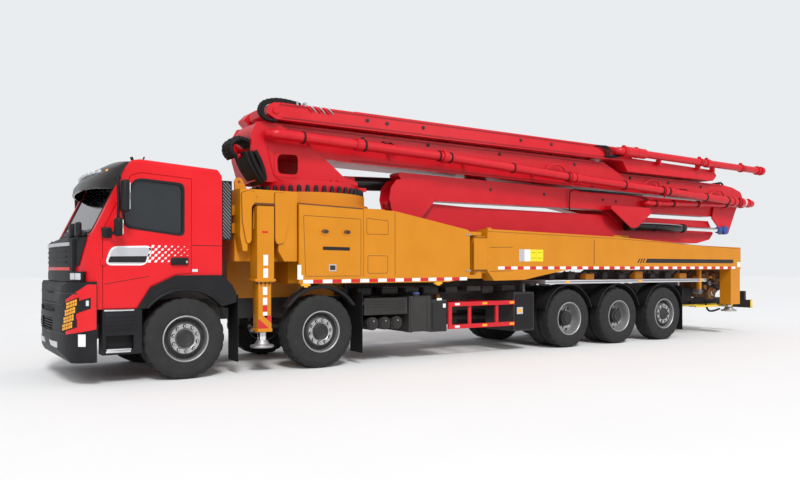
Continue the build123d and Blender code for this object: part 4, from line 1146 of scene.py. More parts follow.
        pieces: list[Piece] = []
        lay(0.03, 2.2, slope(0.712, 0.033), slope(1.262, 0.12, 0.6), 0.005, "cab_red", 20)
        lay(0.38, 1.35, slope(0.985, 0.055), slope(1.125, 0.055), 0.012, "black_plastic", 6, "")
        lay(0.5, 0.68, 1.0, 1.065, 0.018, "clear_lens", 3)
        for k in range(4):
            lean = 0.11 * (3 - k)
            first, last, level = 1.28 + lean, 2.08 + lean, 0.685 + 0.092 * k + 0.06 * (2.08 + lean)
            lay(first - (0.3 if k == 0 else 0.12), last + 0.17, slope(level - 0.014, 0.06), slope(level + 0.086, 0.06),
                0.011, "black_plastic", 8, "")
            lay(first, last, slope(level, 0.06), slope(level + 0.072, 0.06), 0.015, "amber_lens", 8, "")
            for j in range(5):
                t = first + 0.13 + 0.13 * j
                lay(t, t + 0.014, slope(level, 0.06), slope(level + 0.072, 0.06), 0.018, "black_plastic", 1, "")
            lay(first, last, slope(level + 0.034, 0.06), slope(level + 0.039, 0.06), 0.018, "black_plastic", 8, "")
        lay(0.72, 1.22, 0.5, 0.65, 0.006, "reflective_white", 4)
        lay(1.3, 4.9, 1.14, 1.158, 0.006, "grille_grey", 20)
        lay(2.3, 4.9, 0.64, 0.655, 0.006, "grille_grey", 16)
        lay(3.1, 4.3, 0.455, 0.53, 0.012, "silver_trim", 8)
        self.shop.place(pieces, f"bumper_corner_{side.word}", slot="cab_red")

    def arch(self, side: Side) -> None:
        """Dress the wheel arches with a rolled lip."""
        s, pieces = side.value, []
        for x, start, end in ((0.0, 40, 140), (-1.995, 36, 144)):
            points = []
            for k in range(17):
                angle = math.radians(start + (end - start) * k / 16)
                points.append((fa(x + self.arch_radius * math.cos(angle)), s * 1.232,
                    self.axle_z + self.arch_radius * math.sin(angle)))
            pieces.append(self.shop.paint(self.shop.tube(points, 0.02), "black_plastic"))
            outer = [(x, y - s * 0.006, z + 0.075 if k not in (0, 16) else z) for k, (x, y, z) in enumerate(points)]
            pieces.append(self.shop.paint(self.shop.tube(outer[2:-2], 0.009), "black_plastic"))
        self.shop.place(pieces, f"arch_lips_{side.word}", slot="chassis_black")

    def steps(self, side: Side) -> None:
        """Dress the door steps with bright treads."""
        s, shop = side.value, self.shop
        pieces = [self.cube("tread_plate", (0.69, s * 1.15, 0.43), (0.99, s * 1.226, 0.452), 0.006),
            self.cube("black_plastic", (0.645, s * 1.2, 0.67), (1.01, s * 1.229, 0.9), 0.008)]
        pieces += [self.cube("black_plastic", (0.65, s * 1.22, 0.7 + 0.05 * k), (1.0, s * 1.234, 0.712 + 0.05 * k),
            0.004) for k in range(4)]
        pieces += [self.cube("silver_trim", (0.66, s * 1.21, 0.925), (1.02, s * 1.232, 0.944), 0.004),
            self.cube("silver_trim", (0.7, s * 1.216, 0.405), (1.0, s * 1.234, 0.43), 0.006)]
        shop.place(pieces, f"step_treads_{side.word}", slot="cab_trim")

    def face(self) -> None:
        """Dress the front: mask slats, bright bar, lamp housings, bumper grille and front mirrors."""
        pieces = []

        def sill(t: float) -> float:
            """Return the mask's lower edge, raised at its two ends."""
            edge = min(t, 8 - t)
            return 1.49 if edge > 1.62 else 1.49 + (1.62 - edge) * 0.5

        pieces += [self.wall(*row) for row in ((self.plan, 0.95, 2.6, sill, 1.845, 0.002, 0.012, "black_plastic", 16),
            (self.plan, 5.4, 7.05, sill, 1.845, 0.002, 0.012, "black_plastic", 16),
            (self.plan, 2.2, 5.8, 1.745, 1.79, 0.03, 0.058, "silver_trim", 20))]
        pieces += [self.wall(self.plan, 2.5, 5.5, z, z + 0.018, 0.044, 0.054, "black_plastic", 16)
            for z in (1.53, 1.6, 1.67)]
        pieces.append(self.wall(self.plan, 2.2, 5.8, 1.435, 1.475, 0.03, 0.05, "cab_red", 16))
        for side in Side:
            def at(t: float) -> float:
                """Return the place on this side of the cab's curve."""
                return t if side is Side.LEFT else 8 - t

            pieces += [self.wall(*row) for row in ((self.plan, at(1.05), at(2.25), 1.3, 1.42, 0.004, 0.052,
                "black_plastic", 8), (self.plan, at(1.2), at(1.6), 1.32, 1.4, 0.02, 0.06, "clear_lens", 5),
                (self.plan, at(1.7), at(2.1), 1.32, 1.4, 0.02, 0.06, "clear_lens", 5))]
        for k in range(5):
            z = 0.655 + k * 0.034
            pieces.append(self.wall(self.bumper, 3.85, 6.15, z, z + 0.012, -0.05, -0.02, "grille_grey", 8))
        pieces += [self.wall(self.bumper, 3.75, 6.25, 0.912 + k * 0.016, 0.918 + k * 0.016, -0.04, -0.015,
            "grille_grey", 8) for k in range(3)]
        pieces.append(self.wall(self.bumper, 2.7, 7.3, 1.0, 1.012, -0.02, 0.002, "grille_grey", 16))
        self.shop.place(pieces, "front_grilles", slot="cab_trim")
        mirrors = []
        for y in (0.92, 0.5):
            mirrors.append(self.cube("black_plastic", (1.235, y - 0.085, 1.86), (1.3, y + 0.085, 2.04), 0.025, 3))
            mirrors += [self.tube("black_plastic",
                [(1.27, y + dy, 1.86), (1.3, y + dy, 1.82), (1.24, y + dy, 1.79), (1.17, y + dy, 1.84)], 0.01)
                for dy in (-0.06, 0.06)]
        self.shop.place(mirrors, "front_mirrors", slot="cab_trim")

    def screen(self) -> None:
        """Dress the windscreen: dark border, lower cowl and two wipers."""
        low, high = Vector((1.175, 1.85)), Vector((0.745, 2.745))
        up = (high - low).normalized()
        out = Vector((up.y, -up.x))

        def place(along: float, y: float, off: float = 0.0) -> Point:
            """Return a point of the screen: up along it, across, and out of it."""
            x, z = low + up * along + out * off
            return fa(x), y, z

        length = (high - low).length
        pieces = []
        inner = rounded([(-1.05, 0.085), (1.05, 0.085), (1.05, length - 0.085), (-1.05, length - 0.085)], 0.06)
        outer = grown(inner, 0.028)
        slim = grown(inner, -0.045)
        for loop_in, loop_out, z0, z1, finish in ((inner, outer, -0.002, 0.006, "black_plastic"),
                (slim, inner, -0.012, -0.006, "black_paint")):
            verts = [place(a, y, off) for off in (z0, z1) for loop in (loop_in, loop_out) for y, a in loop]
            pieces.append(self.shop.paint(self.shop.solid(verts, band_faces(len(loop_in)), "screen_frame"), finish))
        for y in (0.62, -0.25):
            pieces += [self.shop.paint(self.shop.tube([place(0.04, y, 0.02), place(0.09, y - 0.2, 0.03),
                place(0.13, y - 0.42, 0.018)], 0.008), "black_plastic"),
                self.shop.paint(self.shop.tube([place(0.11, y - 0.05, 0.012), place(0.14, y - 0.42, 0.014),
                place(0.13, y - 0.75, 0.012)], 0.006), "black_plastic")]
        cowl = self.shop.cube(place(0.0, -1.0, 0.0), place(0.06, 1.0, 0.03), 0.006)
        pieces.append(self.shop.paint(cowl, "black_plastic"))
        self.shop.place(pieces, "windscreen_trim", slot="cab_trim")

    def visor(self) -> None:
        """Model the visor's curved shell with its lamps, in place of the plain one, and dress the roof."""
        shop, verts, faces, rows = self.shop, [], [], 24
        plan = ((0.76, 1.14), (0.9, 1.075), (1.02, 0.85), (1.085, 0.5), (1.11, 0.0))
        for k in range(rows + 1):
            place, _ = self.curve(plan, 8 * k / rows)
            tip, y = place.x, place.y
            reach = tip - 0.6
            drop = 0.05 * (abs(y) / 1.14) ** 3
            verts += [(fa(x), y, z - drop) for x, z in ((0.6, 2.885), (0.6 + reach * 0.35, 2.868),
                (0.6 + reach * 0.72, 2.765), (tip - 0.015, 2.6), (tip, 2.515), (tip - 0.03, 2.505),
                (0.6 + reach * 0.7, 2.7), (0.62, 2.8))]
        for k in range(rows):
            a, b = 8 * k, 8 * k + 8
            faces += [(a + j, a + (j + 1) % 8, b + (j + 1) % 8, b + j) for j in range(8)]
        faces += [tuple(range(8)), tuple(range(8 * rows + 7, 8 * rows - 1, -1))]
        pieces = [shop.paint(shop.solid(verts, faces, "visor"), "visor_smoke")]
        for k in range(9):
            y = -0.8 + 0.2 * k
            tip = 1.11 - 0.19 * abs(y) ** 2.4
            x, z = tip - 0.1, 2.735 - 0.05 * (abs(y) / 1.14) ** 3
            pieces.append(self.rod("amber_lens" if k in (0, 8) else "clear_lens", (x, y - 0.085, z), (x, y + 0.085, z),
                0.024, 12, 0.006))
        pieces += [self.rod("black_plastic", (0.62, y, 2.84), (0.64, y, 2.9), 0.02, 12, 0.004) for y in (-1.0, 1.0)]
        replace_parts(shop.place(pieces, "visor_shell", slot="smoked_plastic"), "sun_visor")
        roof = [self.rod("black_plastic", (0.43, 0.75, 2.85), (0.43, 0.75, 2.9), 0.035, 18, 0.006),
            self.rod("black_plastic", (0.43, 0.75, 2.9), (0.41, 0.75, 2.95), 0.01, 8),
            self.cube("black_plastic", (0.25, 0.7, 2.825), (0.32, 0.8, 2.86), 0.01),
            self.cube("cab_red", (-0.35, -0.35, 2.77), (0.25, 0.35, 2.845), 0.02, 3)]
        shop.place(roof, "roof_fittings", slot="cab_trim")

    def mirrors(self, side: Side) -> None:
        """Model a door's two mirrors and their arm, in place of the plain ones."""
        s, shop = side.value, self.shop
        pieces = [self.cube("black_plastic", (x0, s * y0, z0), (x1, s * y1, z1), bevel, count)
            for x0, x1, y0, y1, z0, z1, bevel, count in ((0.768, 0.86, 1.315, 1.488, 2.155, 2.555, 0.036, 4),
            (0.85, 0.934, 1.315, 1.483, 1.855, 2.085, 0.034, 4))]
        run = ((0.86, 1.2, 2.6), (0.9, 1.3, 2.625), (0.89, 1.38, 2.58), (0.88, 1.37, 2.3), (0.89, 1.37, 2.0),
            (0.93, 1.33, 1.87), (1.0, 1.2, 1.9))
        pieces += [self.tube("black_plastic", [(x, s * y, z) for x, y, z in run], 0.019),
            self.cube("black_plastic", (0.93, s * 1.19, 1.84), (1.05, s * 1.25, 1.97), 0.02, 3),
            self.cube("black_plastic", (0.82, s * 1.19, 2.57), (0.9, s * 1.25, 2.63), 0.015, 3)]
        pieces += [self.cube("mirror_glass", (x - 0.003, s * 1.338, z0), (x + 0.01, s * 1.465, z1), 0.004)
            for x, z0, z1 in ((0.766, 2.19, 2.52), (0.848, 1.88, 2.06))]
        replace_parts(shop.place(pieces, f"mirrors_{side.word}", f"cab_door_{side.word}_body", "cab_trim"),
            f"mirror_{side.word}")


@dataclass
class BodyDress(Trim):
    """Marks, seams, bolts and fittings of the body and the outriggers."""

    side_y: float = 1.25
    beam_y: float = 1.24
    ring_x: float = -2.35
    ring_top: float = 2.61
    cap_circle: float = 0.905
    cap_count: int = 44
    strip_half: float = 0.026

    def build(self) -> None:
        """Build every piece of the body's dress."""
        self.ring_caps()
        for side in Side:
            self.panel(side)
            self.front_leg(side)
            self.beam(side)
            self.rear_leg(side)
            self.housing(side)

    def strip(self, side: Side, y: float, x0: float, x1: float, z0: float, z1: float, count: int) -> list[Piece]:
        """Lay a warning strip of red and white lengths, the heights given at its two ends."""
        made, half = [], self.strip_half
        for k in range(count):
            a, b = k / count, (k + 1) / count
            xa, xb = x0 + (x1 - x0) * a, x0 + (x1 - x0) * b
            za, zb = z0 + (z1 - z0) * a, z0 + (z1 - z0) * b
            finish = "reflective_red" if k % 2 else "reflective_white"
            made.append(self.patch([(xa, za - half), (xb, zb - half), (xb, zb + half), (xa, za + half)], side, y,
                finish, 0.002))
        return made

    def seam(self, outline: Sequence[Flat], side: Side, y: float, width: float = 0.007) -> Piece:
        """Lay a thin dark closed line on a side face."""
        inner = [(fa(x), z) for x, z in rounded(outline, 0.02, 2)]
        outer = grown(inner, width)
        return self.shop.paint(self.ring(inner, outer, side.value * (y - 0.001), side.value * (y + 0.0012)),
            "seam_shadow")

    def line(self, start: Flat, end: Flat, side: Side, y: float, width: float = 0.008) -> Piece:
        """Lay a thin dark line on a side face."""
        a, b = Vector(start), Vector(end)
        across = (b - a).normalized() * (width / 2)
        across = Vector((-across.y, across.x))
        return self.patch([tuple(a - across), tuple(b - across), tuple(b + across), tuple(a + across)], side, y,
            "seam_shadow", 0.0015)

    def ring_caps(self) -> None:
        """Stand rubber caps on the bolts of the slewing ring."""
        profile = [(0.0, 0.112), (0.012, 0.11), (0.024, 0.1), (0.031, 0.082), (0.033, 0.05), (0.035, 0.012),
            (0.04, 0.0), (0.0, 0.0)]
        first = self.shop.spin(profile, (0.0, 0.0, 0.0), 16)
        first.data.transform(Matrix.Rotation(math.pi / 2, 4, "X"))
        self.shop.paint(first, "black_plastic")
        pieces = []
        for k in range(self.cap_count):
            angle = math.tau * k / self.cap_count
            place = (fa(self.ring_x) + self.cap_circle * math.cos(angle), self.cap_circle * math.sin(angle),
                self.ring_top)
            pieces.append(self.shop.copy(first, Matrix.Translation(place)))
        bpy.data.objects.remove(first)
        self.shop.place(pieces, "slew_ring_caps", slot="chassis_black")

    def panel(self, side: Side) -> None:
        """Dress a side panel with its doors, cups, plates, strip and lamps."""
        s, y = side.value, self.side_y
        pieces = [*(self.seam(*row) for row in (([(-1.734, 1.35), (-1.7, 2.22), (-2.65, 2.2), (-2.65, 1.35)], side, y),
            ([(-2.76, 1.985), (-2.76, 2.22), (-3.139, 2.19), (-3.139, 1.985)], side, y),
            ([(-2.78, 1.39), (-2.78, 1.65), (-3.13, 1.65), (-3.13, 1.39)], side, y))),
            *(self.line(*row) for row in (((-3.27, 2.34), (-3.27, 1.34), side, y),
            ((-2.7, 2.36), (-2.7, 1.34), side, y, 0.006), ((-1.6, 2.392), (-2.69, 2.36), side, y, 0.02)))]
        for x in (-2.043, -2.412):
            pieces += self.cup(side, x, 2.0)
        pieces += [self.patch([(-2.01, 1.73), (-2.01, 1.78), (-2.46, 1.775), (-2.46, 1.725)], side, y, "black_paint"),
            self.tile(-2.11, -2.23, 1.42, 1.52, side, y, "silver_trim"),
            self.tile(-2.125, -2.215, 1.435, 1.505, side, y, "grille_grey", 0.004),
            *self.strip(side, y, -1.69, -4.7, 1.268, 1.29, 19),
            self.patch([(-1.6, 1.3), (-1.6, 1.51), (-1.66, 1.51), (-1.66, 1.36), (-1.69, 1.36), (-1.69, 1.3)], side, y,
            "reflective_white", 0.002)]
        for x, z in ((-1.74, 1.215), (-4.12, 1.215)):
            pieces += [self.cube("amber_lens", (x - 0.07, s * (y - 0.06), z - 0.01), (x + 0.07, s * y, z + 0.022),
                0.008), self.cube("amber_lens", (x - 0.03, s * (y - 0.05), z - 0.03), (x + 0.03, s * y, z - 0.01),
                0.005)]
        for z in (1.42, 2.02):
            pieces += [self.rod("rim_steel", (x, s * (y - 0.01), z), (x, s * (y + 0.01), z), 0.02, 12, 0.003)
                for x in (-4.755, -4.7)]
        self.shop.place(pieces, f"panel_marks_{side.word}", slot="body_orange")

    def cup(self, side: Side, x: float, z: float) -> list[Piece]:
        """Make an oval lifting cup with a lighter rim round a hollow painted in shade."""
        ring = [(x + 0.085 * math.cos(math.tau * k / 24), z + 0.052 * math.sin(math.tau * k / 24)) for k in range(24)]
        inner = [(x + 0.062 * math.cos(math.tau * k / 24), z + 0.032 * math.sin(math.tau * k / 24)) for k in range(24)]
        return [self.patch(ring, side, self.side_y, "body_orange", 0.008),
            self.patch(inner, side, self.side_y, "seam_shadow", 0.0095),
            self.rod("dark_hub", (x - 0.02, side.value * (self.side_y - 0.02), z),
            (x - 0.02, side.value * (self.side_y + 0.014), z), 0.02, 14, 0.004)]

    def housing(self, side: Side) -> None:
        """Dress a front housing: fender plates, bolts and shadow lines."""
        s, shop, pieces = side.value, self.shop, []
        y = 1.2
        plates = (((-0.775, 2.5), (-0.86, 2.53), (-0.96, 2.53), (-0.96, 2.36), (-0.918, 2.32), (-0.915, 1.84),
            (-0.88, 1.8), (-0.845, 1.82), (-0.79, 2.1)),
            ((-1.27, 2.53), (-1.42, 2.53), (-1.5, 2.46), (-1.47, 2.1), (-1.4, 1.82), (-1.3, 1.8), (-1.272, 1.86)))
        for outline in plates:
            pieces += [self.patch(rounded(outline, 0.03), side, y - 0.004, "body_orange", 0.026),
                self.seam(outline, side, y + 0.001, 0.006)]
        pieces += [self.patch([(-0.95, 2.345), (-1.28, 2.345), (-1.28, 2.375), (-0.95, 2.375)], side, y, "seam_shadow",
            0.004), self.tile(-1.0, -1.012, 2.45, 2.462, side, y, "dark_hub")]
        pieces += [self.cube("body_orange", (-0.66, s * 0.86, z), (-0.76, s * 1.0, z + 0.14), 0.008)
            for z in (1.95, 2.2)]
        shop.place(pieces, f"housing_marks_{side.word}", slot="body_orange")

    def front_leg(self, side: Side) -> None:
        """Dress the front leg: labels, flange, striped foot and bright spindle."""
        s, shop = side.value, self.shop
        y, x = 1.245, -1.115
        pieces = [*(self.tile(*row) for row in ((-1.06, -1.15, 1.955, 1.98, side, y, "reflective_red"),
            (-1.08, -1.15, 1.5, 1.65, side, y, "reflective_white"),
            (-1.08, -1.15, 1.33, 1.46, side, y, "reflective_white"))),
            self.cube("body_orange", (x - 0.155, s * 0.965, 1.275), (x + 0.155, s * 1.249, 1.315), 0.008)]
        pieces += [self.rod("dark_hub", (x + dx, s * 1.235, 1.235), (x + dx, s * 1.235, 1.28), 0.012, 8)
            for dx in (-0.12, -0.06, 0.0, 0.06, 0.12)]
        shop.place(pieces, f"front_arm_marks_{side.word}", f"front_outrigger_{side.word}_body", "body_orange")
        self.leg(side, "front", x, 1.12, 0.098, 0.35, 0.6)

    def leg(self, side: Side, place: str, x: float, y: float, half: float, foot: float, lower: float) -> None:
        """Model a leg's sliding tube with marks, collar, spindle and foot, in place of the plain one.

        Args:
            side: which side.
            place: front or rear.
            x: leg axis, from the front axle.
            y: leg axis.
            half: half the tube's side.
            foot: underside of the foot.
            lower: lower end of the tube.
        """
        s, shop, face = side.value, self.shop, y + half
        node = f"{place}_leg_{side.word}"
        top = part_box(node)[1][2] - 0.002
        centre = (fa(x), s * y)
        pieces = [shop.paint(shop.cube((centre[0] - half, centre[1] - half, lower),
            (centre[0] + half, centre[1] + half, top), 0.012), "body_orange"),
            shop.paint(shop.cube((centre[0] - half - 0.012, centre[1] - half - 0.012, lower - 0.03),
            (centre[0] + half + 0.012, centre[1] + half + 0.012, lower + 0.02), 0.01), "body_orange"),
            shop.paint(shop.rod((*centre, lower - 0.03), (*centre, foot + 0.05), 0.062, 28, 0.004), "chrome_rod"),
            shop.paint(shop.rod((*centre, foot + 0.1), (*centre, foot + 0.045), 0.075, 28, 0.0, 0.105), "rim_steel")]
        plate = shop.rod((*centre, foot), (*centre, foot + 0.035), 0.165, 40, 0.008)
        pieces += [shop.paint(plate, "rim_steel"),
            shop.paint(shop.rod((*centre, foot + 0.033), (*centre, foot + 0.05), 0.13, 40, 0.006, 0.11), "rim_steel")]
        if place == "front":
            pieces += [self.tile(x + 0.03, x - 0.035, z0, z1, side, face,
                "reflective_red" if k == 2 else "reflective_white", 0.002)
                for k, (z0, z1) in enumerate(((1.09, 1.2), (0.95, 1.05), (0.86, 0.94), (0.77, 0.85)))]
        pieces += self.chevron(side, x, face, half, lower + 0.01, lower + 0.2)
        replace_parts(shop.place(pieces, f"{node}_dressed", f"{node}_body", "bright_chrome"), node)

    def chevron(self, side: Side, x: float, face: float, half: float, z0: float, z1: float) -> list[Piece]:
        """Lay a red and yellow warning mark over a leg's end."""
        def at(u: float, v: float) -> Flat:
            """Return the outline point at two shares of the mark."""
            return x - half + 2 * half * u, z0 + (z1 - z0) * v

        return [self.patch([at(0, 0), at(1, 0), at(1, 1), at(0, 1)], side, face, "reflective_red", 0.002),
            self.patch([at(0, 0.4), at(0, 0), at(0.12, 0), at(1, 0.8), at(1, 1), at(0.62, 1)], side, face,
            "body_orange", 0.003)]

    def beam(self, side: Side) -> None:
        """Dress a rear beam: stripe, slanted bars, seam, plates and warning strip."""
        s, y = side.value, self.beam_y
        pieces = [self.patch([(-9.27, 1.57), (-9.33, 1.655), (-12.285, 1.655), (-12.285, 1.575)], side, y,
            "black_paint", 0.002)]
        for k in range(3):
            x = -9.03 - 0.075 * k
            pieces.append(self.patch([(x, 1.57), (x - 0.055, 1.655), (x - 0.09, 1.655), (x - 0.035, 1.57)], side, y,
                "black_paint", 0.002))
        pieces.append(self.line((-7.781, 1.99), (-7.781, 1.53), side, y, 0.016))
        pieces += [self.tile(x0, x1, 1.585, 1.795, side, y, finish, 0.002)
            for x0, x1, finish in ((-5.872, -6.0, "silver_trim"), (-6.0, -6.135, "reflective_white"),
            (-6.135, -6.29, "sign_yellow"), (-6.295, -6.451, "sign_yellow"))]
        for x, w in ((-6.21, 0.05), (-6.37, 0.05)):
            pieces += [self.tile(x - w, x + w, z, z + 0.006, side, y, "black_paint", 0.003) for z in (1.64, 1.74)]
        pieces += [self.tile(-12.44, -12.56, 1.49, 1.6, side, y, "reflective_white", 0.002),
            *self.strip(side, y, -5.387, -12.365, 1.468, 1.475, 47),
            *(self.line(*row) for row in (((-5.16, 2.09), (-8.5, 2.035), side, y, 0.006),
            ((-8.5, 2.035), (-12.56, 1.9), side, y, 0.006), ((-5.2, 1.82), (-5.72, 1.83), side, y, 0.008),
            ((-5.2, 1.41), (-5.72, 1.42), side, y, 0.008)))]
        low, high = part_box(f"rear_outrigger_{side.word}")
        face = max(abs(low[1]), abs(high[1]))
        pieces += [*self.chevron(side, -12.375, min(face, 1.24) - 0.01, 0.14, 0.68, 0.88),
            self.tile(-4.86, -5.17, 1.44, 1.97, side, y - 0.012, "body_orange", 0.01)]
        pieces += [self.line((-4.86, z), (-5.17, z), side, y - 0.01, 0.014) for z in (1.43, 1.975)]
        pieces.append(self.rod("body_orange", (-5.3, s * 1.1, 2.1), (-5.3, s * 1.1, 2.16), 0.05, 20, 0.006))
        self.shop.place(pieces, f"rear_arm_marks_{side.word}", f"rear_outrigger_{side.word}_body", "body_orange")

    def rear_leg(self, side: Side) -> None:
        """Dress the rear leg."""
        self.leg(side, "rear", -12.375, 1.075, 0.12, 0.5, 0.7)


@dataclass
class BoomDress(Trim):
    """Hoses, clamps, lines and end fittings of the boom."""

    pipe_y: float = 0.6
    pipe: tuple = ((-1.5, 3.48), (-4.625, 3.4), (-7.536, 3.262), (-10.93, 3.142), (-13.33, 3.045))
    tip: tuple = ((-9.25, 3.905), (-14.48, 3.855))
    back: tuple = ((-10.5, 2.885), (-13.99, 3.01))

    def build(self) -> None:
        """Build every piece of the boom's dress."""
        self.clamps()
        self.top_lines()
        self.side_lines()
        self.hose_arch()
        self.hose_bundle()
        self.tip_hoses()
        self.cylinder()
        self.rest()
        self.webs()

    def along(self, route: Sequence[Flat], x: float) -> tuple[float, float, float]:
        """Return height, X slope and Z slope of a falling route at X."""
        for (xa, za), (xb, zb) in zip(route, route[1:]):
            if xb <= x <= xa:
                share = (x - xa) / (xb - xa)
                run = Vector((xb - xa, zb - za)).normalized()
                return za + (zb - za) * share, run.x, run.y
        return route[-1][1], -1.0, 0.0

    def clamp(self, route: Sequence[Flat], x: float, y: float, radius: float, width: float, finish: str) -> Piece:
        """Make a band round a pipe."""
        z, dx, dz = self.along(route, x)
        half = width / 2
        return self.shop.paint(self.shop.rod((fa(x) - dx * half, y, z - dz * half),
            (fa(x) + dx * half, y, z + dz * half), radius, 28, 0.003), finish)

    def clamps(self) -> None:
        """Dress the pipes with couplings, rings and clamp ears."""
        pieces, tips = [], []
        pieces += [self.clamp(self.pipe, x, self.pipe_y, 0.096, 0.03, "black_plastic")
            for x in (-2.01, -3.1, -4.59, -4.84, -6.3, -7.72, -7.97, -9.4, -10.63, -10.84, -12.2, -13.05, -13.45)]
        for x in (-4.715, -7.845, -10.735, -13.6):
            pieces.append(self.clamp(self.pipe, x, self.pipe_y, 0.108, 0.1, "boom_red"))
            z, *_ = self.along(self.pipe, x)
            pieces += [self.rod("boom_red", (x, self.pipe_y, z + dz), (x, self.pipe_y, z + dz * 1.4), 0.018, 10, 0.003)
                for dz in (0.1, -0.1)]
        for x in (-10.6, -11.21, -12.1, -13.2, -13.8):
            pieces += [self.clamp(self.back, x, 0.444, 0.075, 0.035, "black_plastic"),
                self.clamp(self.back, x - 0.07, 0.444, 0.082, 0.06, "boom_red")]
        pieces += [self.clamp(self.pipe, x, self.pipe_y, 0.1, 0.03, "reflective_white" if x > -13.8 else "boom_red")
            for x in (-13.72, -13.9)]
        for x in (-9.4, -9.79, -11.98, -12.25, -13.6):
            tips += [self.clamp(self.tip, x, self.pipe_y, 0.1 if x < -10 else 0.112, 0.04, "boom_red"),
                self.clamp(self.tip, x - 0.05, self.pipe_y, 0.092, 0.03, "black_plastic")]
            z, *_ = self.along(self.tip, x)
            tips.append(self.cube("boom_red", (x - 0.03, self.pipe_y - 0.03, z + 0.08),
                (x + 0.03, self.pipe_y + 0.03, z + 0.125), 0.008))
        tips += [self.clamp(self.tip, x, self.pipe_y, 0.108, 0.03, "boom_red") for x in (-14.28, -14.42)]
        self.shop.place(pieces, "pipe_clamps", "boom_body", "boom_red")
        self.shop.place(tips, "tip_pipe_clamps", "boom_5_body", "boom_red")

    def top_lines(self) -> None:
        """Lay the hydraulic lines along the arms' top edges."""
        pieces, tops = [], []
        for y in (0.28, 0.235, 0.19):
            points = [(fa(x), y, z) for x, z in ((-1.95, 3.712), (-4.5, 3.706), (-7.0, 3.7), (-8.9, 3.694))]
            pieces.append(self.shop.paint(self.shop.tube(points, 0.013, 2), "boom_red"))
        pieces += [self.cube("black_plastic", (x - 0.02, 0.165, 3.69), (x + 0.02, 0.305, 3.735), 0.005)
            for x in (-2.4, -3.7, -5.0, -6.3, -7.6, -8.7)]
        for y in (0.46, 0.42):
            points = [(fa(x), y, high_z) for x, high_z in ((-3.0, 3.995), (-6.0, 3.99), (-8.8, 3.985))]
            tops.append(self.shop.paint(self.shop.tube(points, 0.012, 2), "boom_red"))
        # the edge bands laid here and below are darker red, painted shadow lines along the arms
        pieces += [self.edge((xa, za), (xb, zb), 0.35)
            for (xa, za), (xb, zb) in (((-1.75, 3.66), (-9.0, 3.64)), ((-3.0, 3.225), (-9.8, 3.14)),
            ((-9.6, 3.44), (-13.2, 3.43)), ((-10.3, 3.13), (-13.7, 3.11)))]
        tops += [self.edge((xa, za), (xb, zb), 0.5)
            for (xa, za), (xb, zb) in (((-1.66, 3.955), (-9.4, 3.952)), ((-1.7, 3.76), (-9.4, 3.757)))]
        self.shop.place(pieces, "arm_lines", "boom_body", "boom_red")
        self.shop.place(tops, "upper_arm_lines", "boom_5_body", "boom_red")

    def edge(self, start: Flat, end: Flat, y: float) -> Piece:
        """Lay a raised band along an arm's side, painted darker red as a shadow line along its edge."""
        (xa, za), (xb, zb) = start, end
        face = [(fa(xa), y - 0.002, za - 0.009), (fa(xb), y - 0.002, zb - 0.009), (fa(xb), y - 0.002, zb + 0.009),
            (fa(xa), y - 0.002, za + 0.009)]
        return self.shop.paint(self.shop.prism(face, Vector((0.0, 0.009, 0.0))), "seam_red")

    def side_lines(self) -> None:
        """Lay small hoses, clips and bosses along the arms' sides."""
        pieces, uppers = [], []
        for group, y0, y1, radius, spots in ((pieces, 0.345, 0.368, 0.03,
                ((-3.22, 3.6), (-4.55, 3.62), (-6.2, 3.6), (-8.2, 3.56), (-9.9, 3.4), (-11.2, 3.38), (-12.4, 3.36))),
                (pieces, 0.3, 0.318, 0.028, ((-4.26, 2.98), (-6.02, 2.93), (-7.4, 2.92), (-9.1, 2.9), (-9.5, 2.88))),
                (uppers, 0.495, 0.518, 0.03, ((-3.22, 3.88), (-3.6, 3.87), (-4.34, 3.88), (-6.6, 3.88), (-7.4, 3.88)))):
            group += [self.rod("dark_hub", (x, y0, z), (x, y1, z), radius, 16, 0.004) for x, z in spots]
        runs = (((-8.08, 0.33, 2.62), (-8.05, 0.345, 2.95), (-8.1, 0.37, 3.05), (-8.3, 0.38, 3.055), (-9.4, 0.38, 3.06),
            (-10.29, 0.38, 3.05)), ((-8.3, 0.375, 3.035), (-9.4, 0.375, 3.035), (-10.29, 0.375, 3.02),
            (-10.5, 0.36, 2.97)))
        pieces += [self.tube("hose_black", [(x, y, z) for x, y, z in run], 0.012) for run in runs]
        for x0 in (-7.35, -10.3, -12.7):
            z, *_ = self.along(self.pipe, x0)
            run = ((x0, 0.37, z + 0.1), (x0 - 0.1, 0.42, z + 0.22), (x0 - 0.32, 0.45, z + 0.24),
                (x0 - 0.5, 0.42, z + 0.16), (x0 - 0.55, 0.37, z + 0.06))
            pieces.append(self.tube("boom_red", [(x, y, w) for x, y, w in run], 0.014))
        for x0 in (-3.6, -11.6):
            z, *_ = self.along(self.pipe, x0)
            for dx in (0.0, -0.14):
                run = ((x0 + dx, 0.36, z + 0.16), (x0 + dx - 0.05, 0.42, z + 0.12), (x0 - 0.12, 0.5, z + 0.1),
                    (x0 - 0.1 + dx, 0.42, z + 0.02), (x0 - 0.2 + dx, 0.37, z + 0.08))
                pieces.append(self.tube("hose_black", [(x, y, w) for x, y, w in run], 0.011))
        self.shop.place(pieces, "arm_side_fittings", "boom_body", "boom_red")
        self.shop.place(uppers, "upper_arm_bosses", "boom_5_body", "boom_red")

    def ribbed(self, points: Sequence[Point], radius: float, finish: str = "hose_black") -> Piece:
        """Make a ribbed hose: a tube with rings along it."""
        pieces = [self.shop.paint(self.shop.tube(points, radius), finish)]
        marks = [Vector(p) for p in points]
        for a, b in zip(marks, marks[1:]):
            count = max(1, int((b - a).length / 0.055))
            for k in range(count):
                centre = a.lerp(b, (k + 0.5) / count)
                run = (b - a).normalized() * 0.009
                pieces.append(self.shop.paint(self.shop.rod(tuple(centre - run), tuple(centre + run), radius * 1.14, 14,
                    0.002), finish))
        return self.shop.join(pieces)

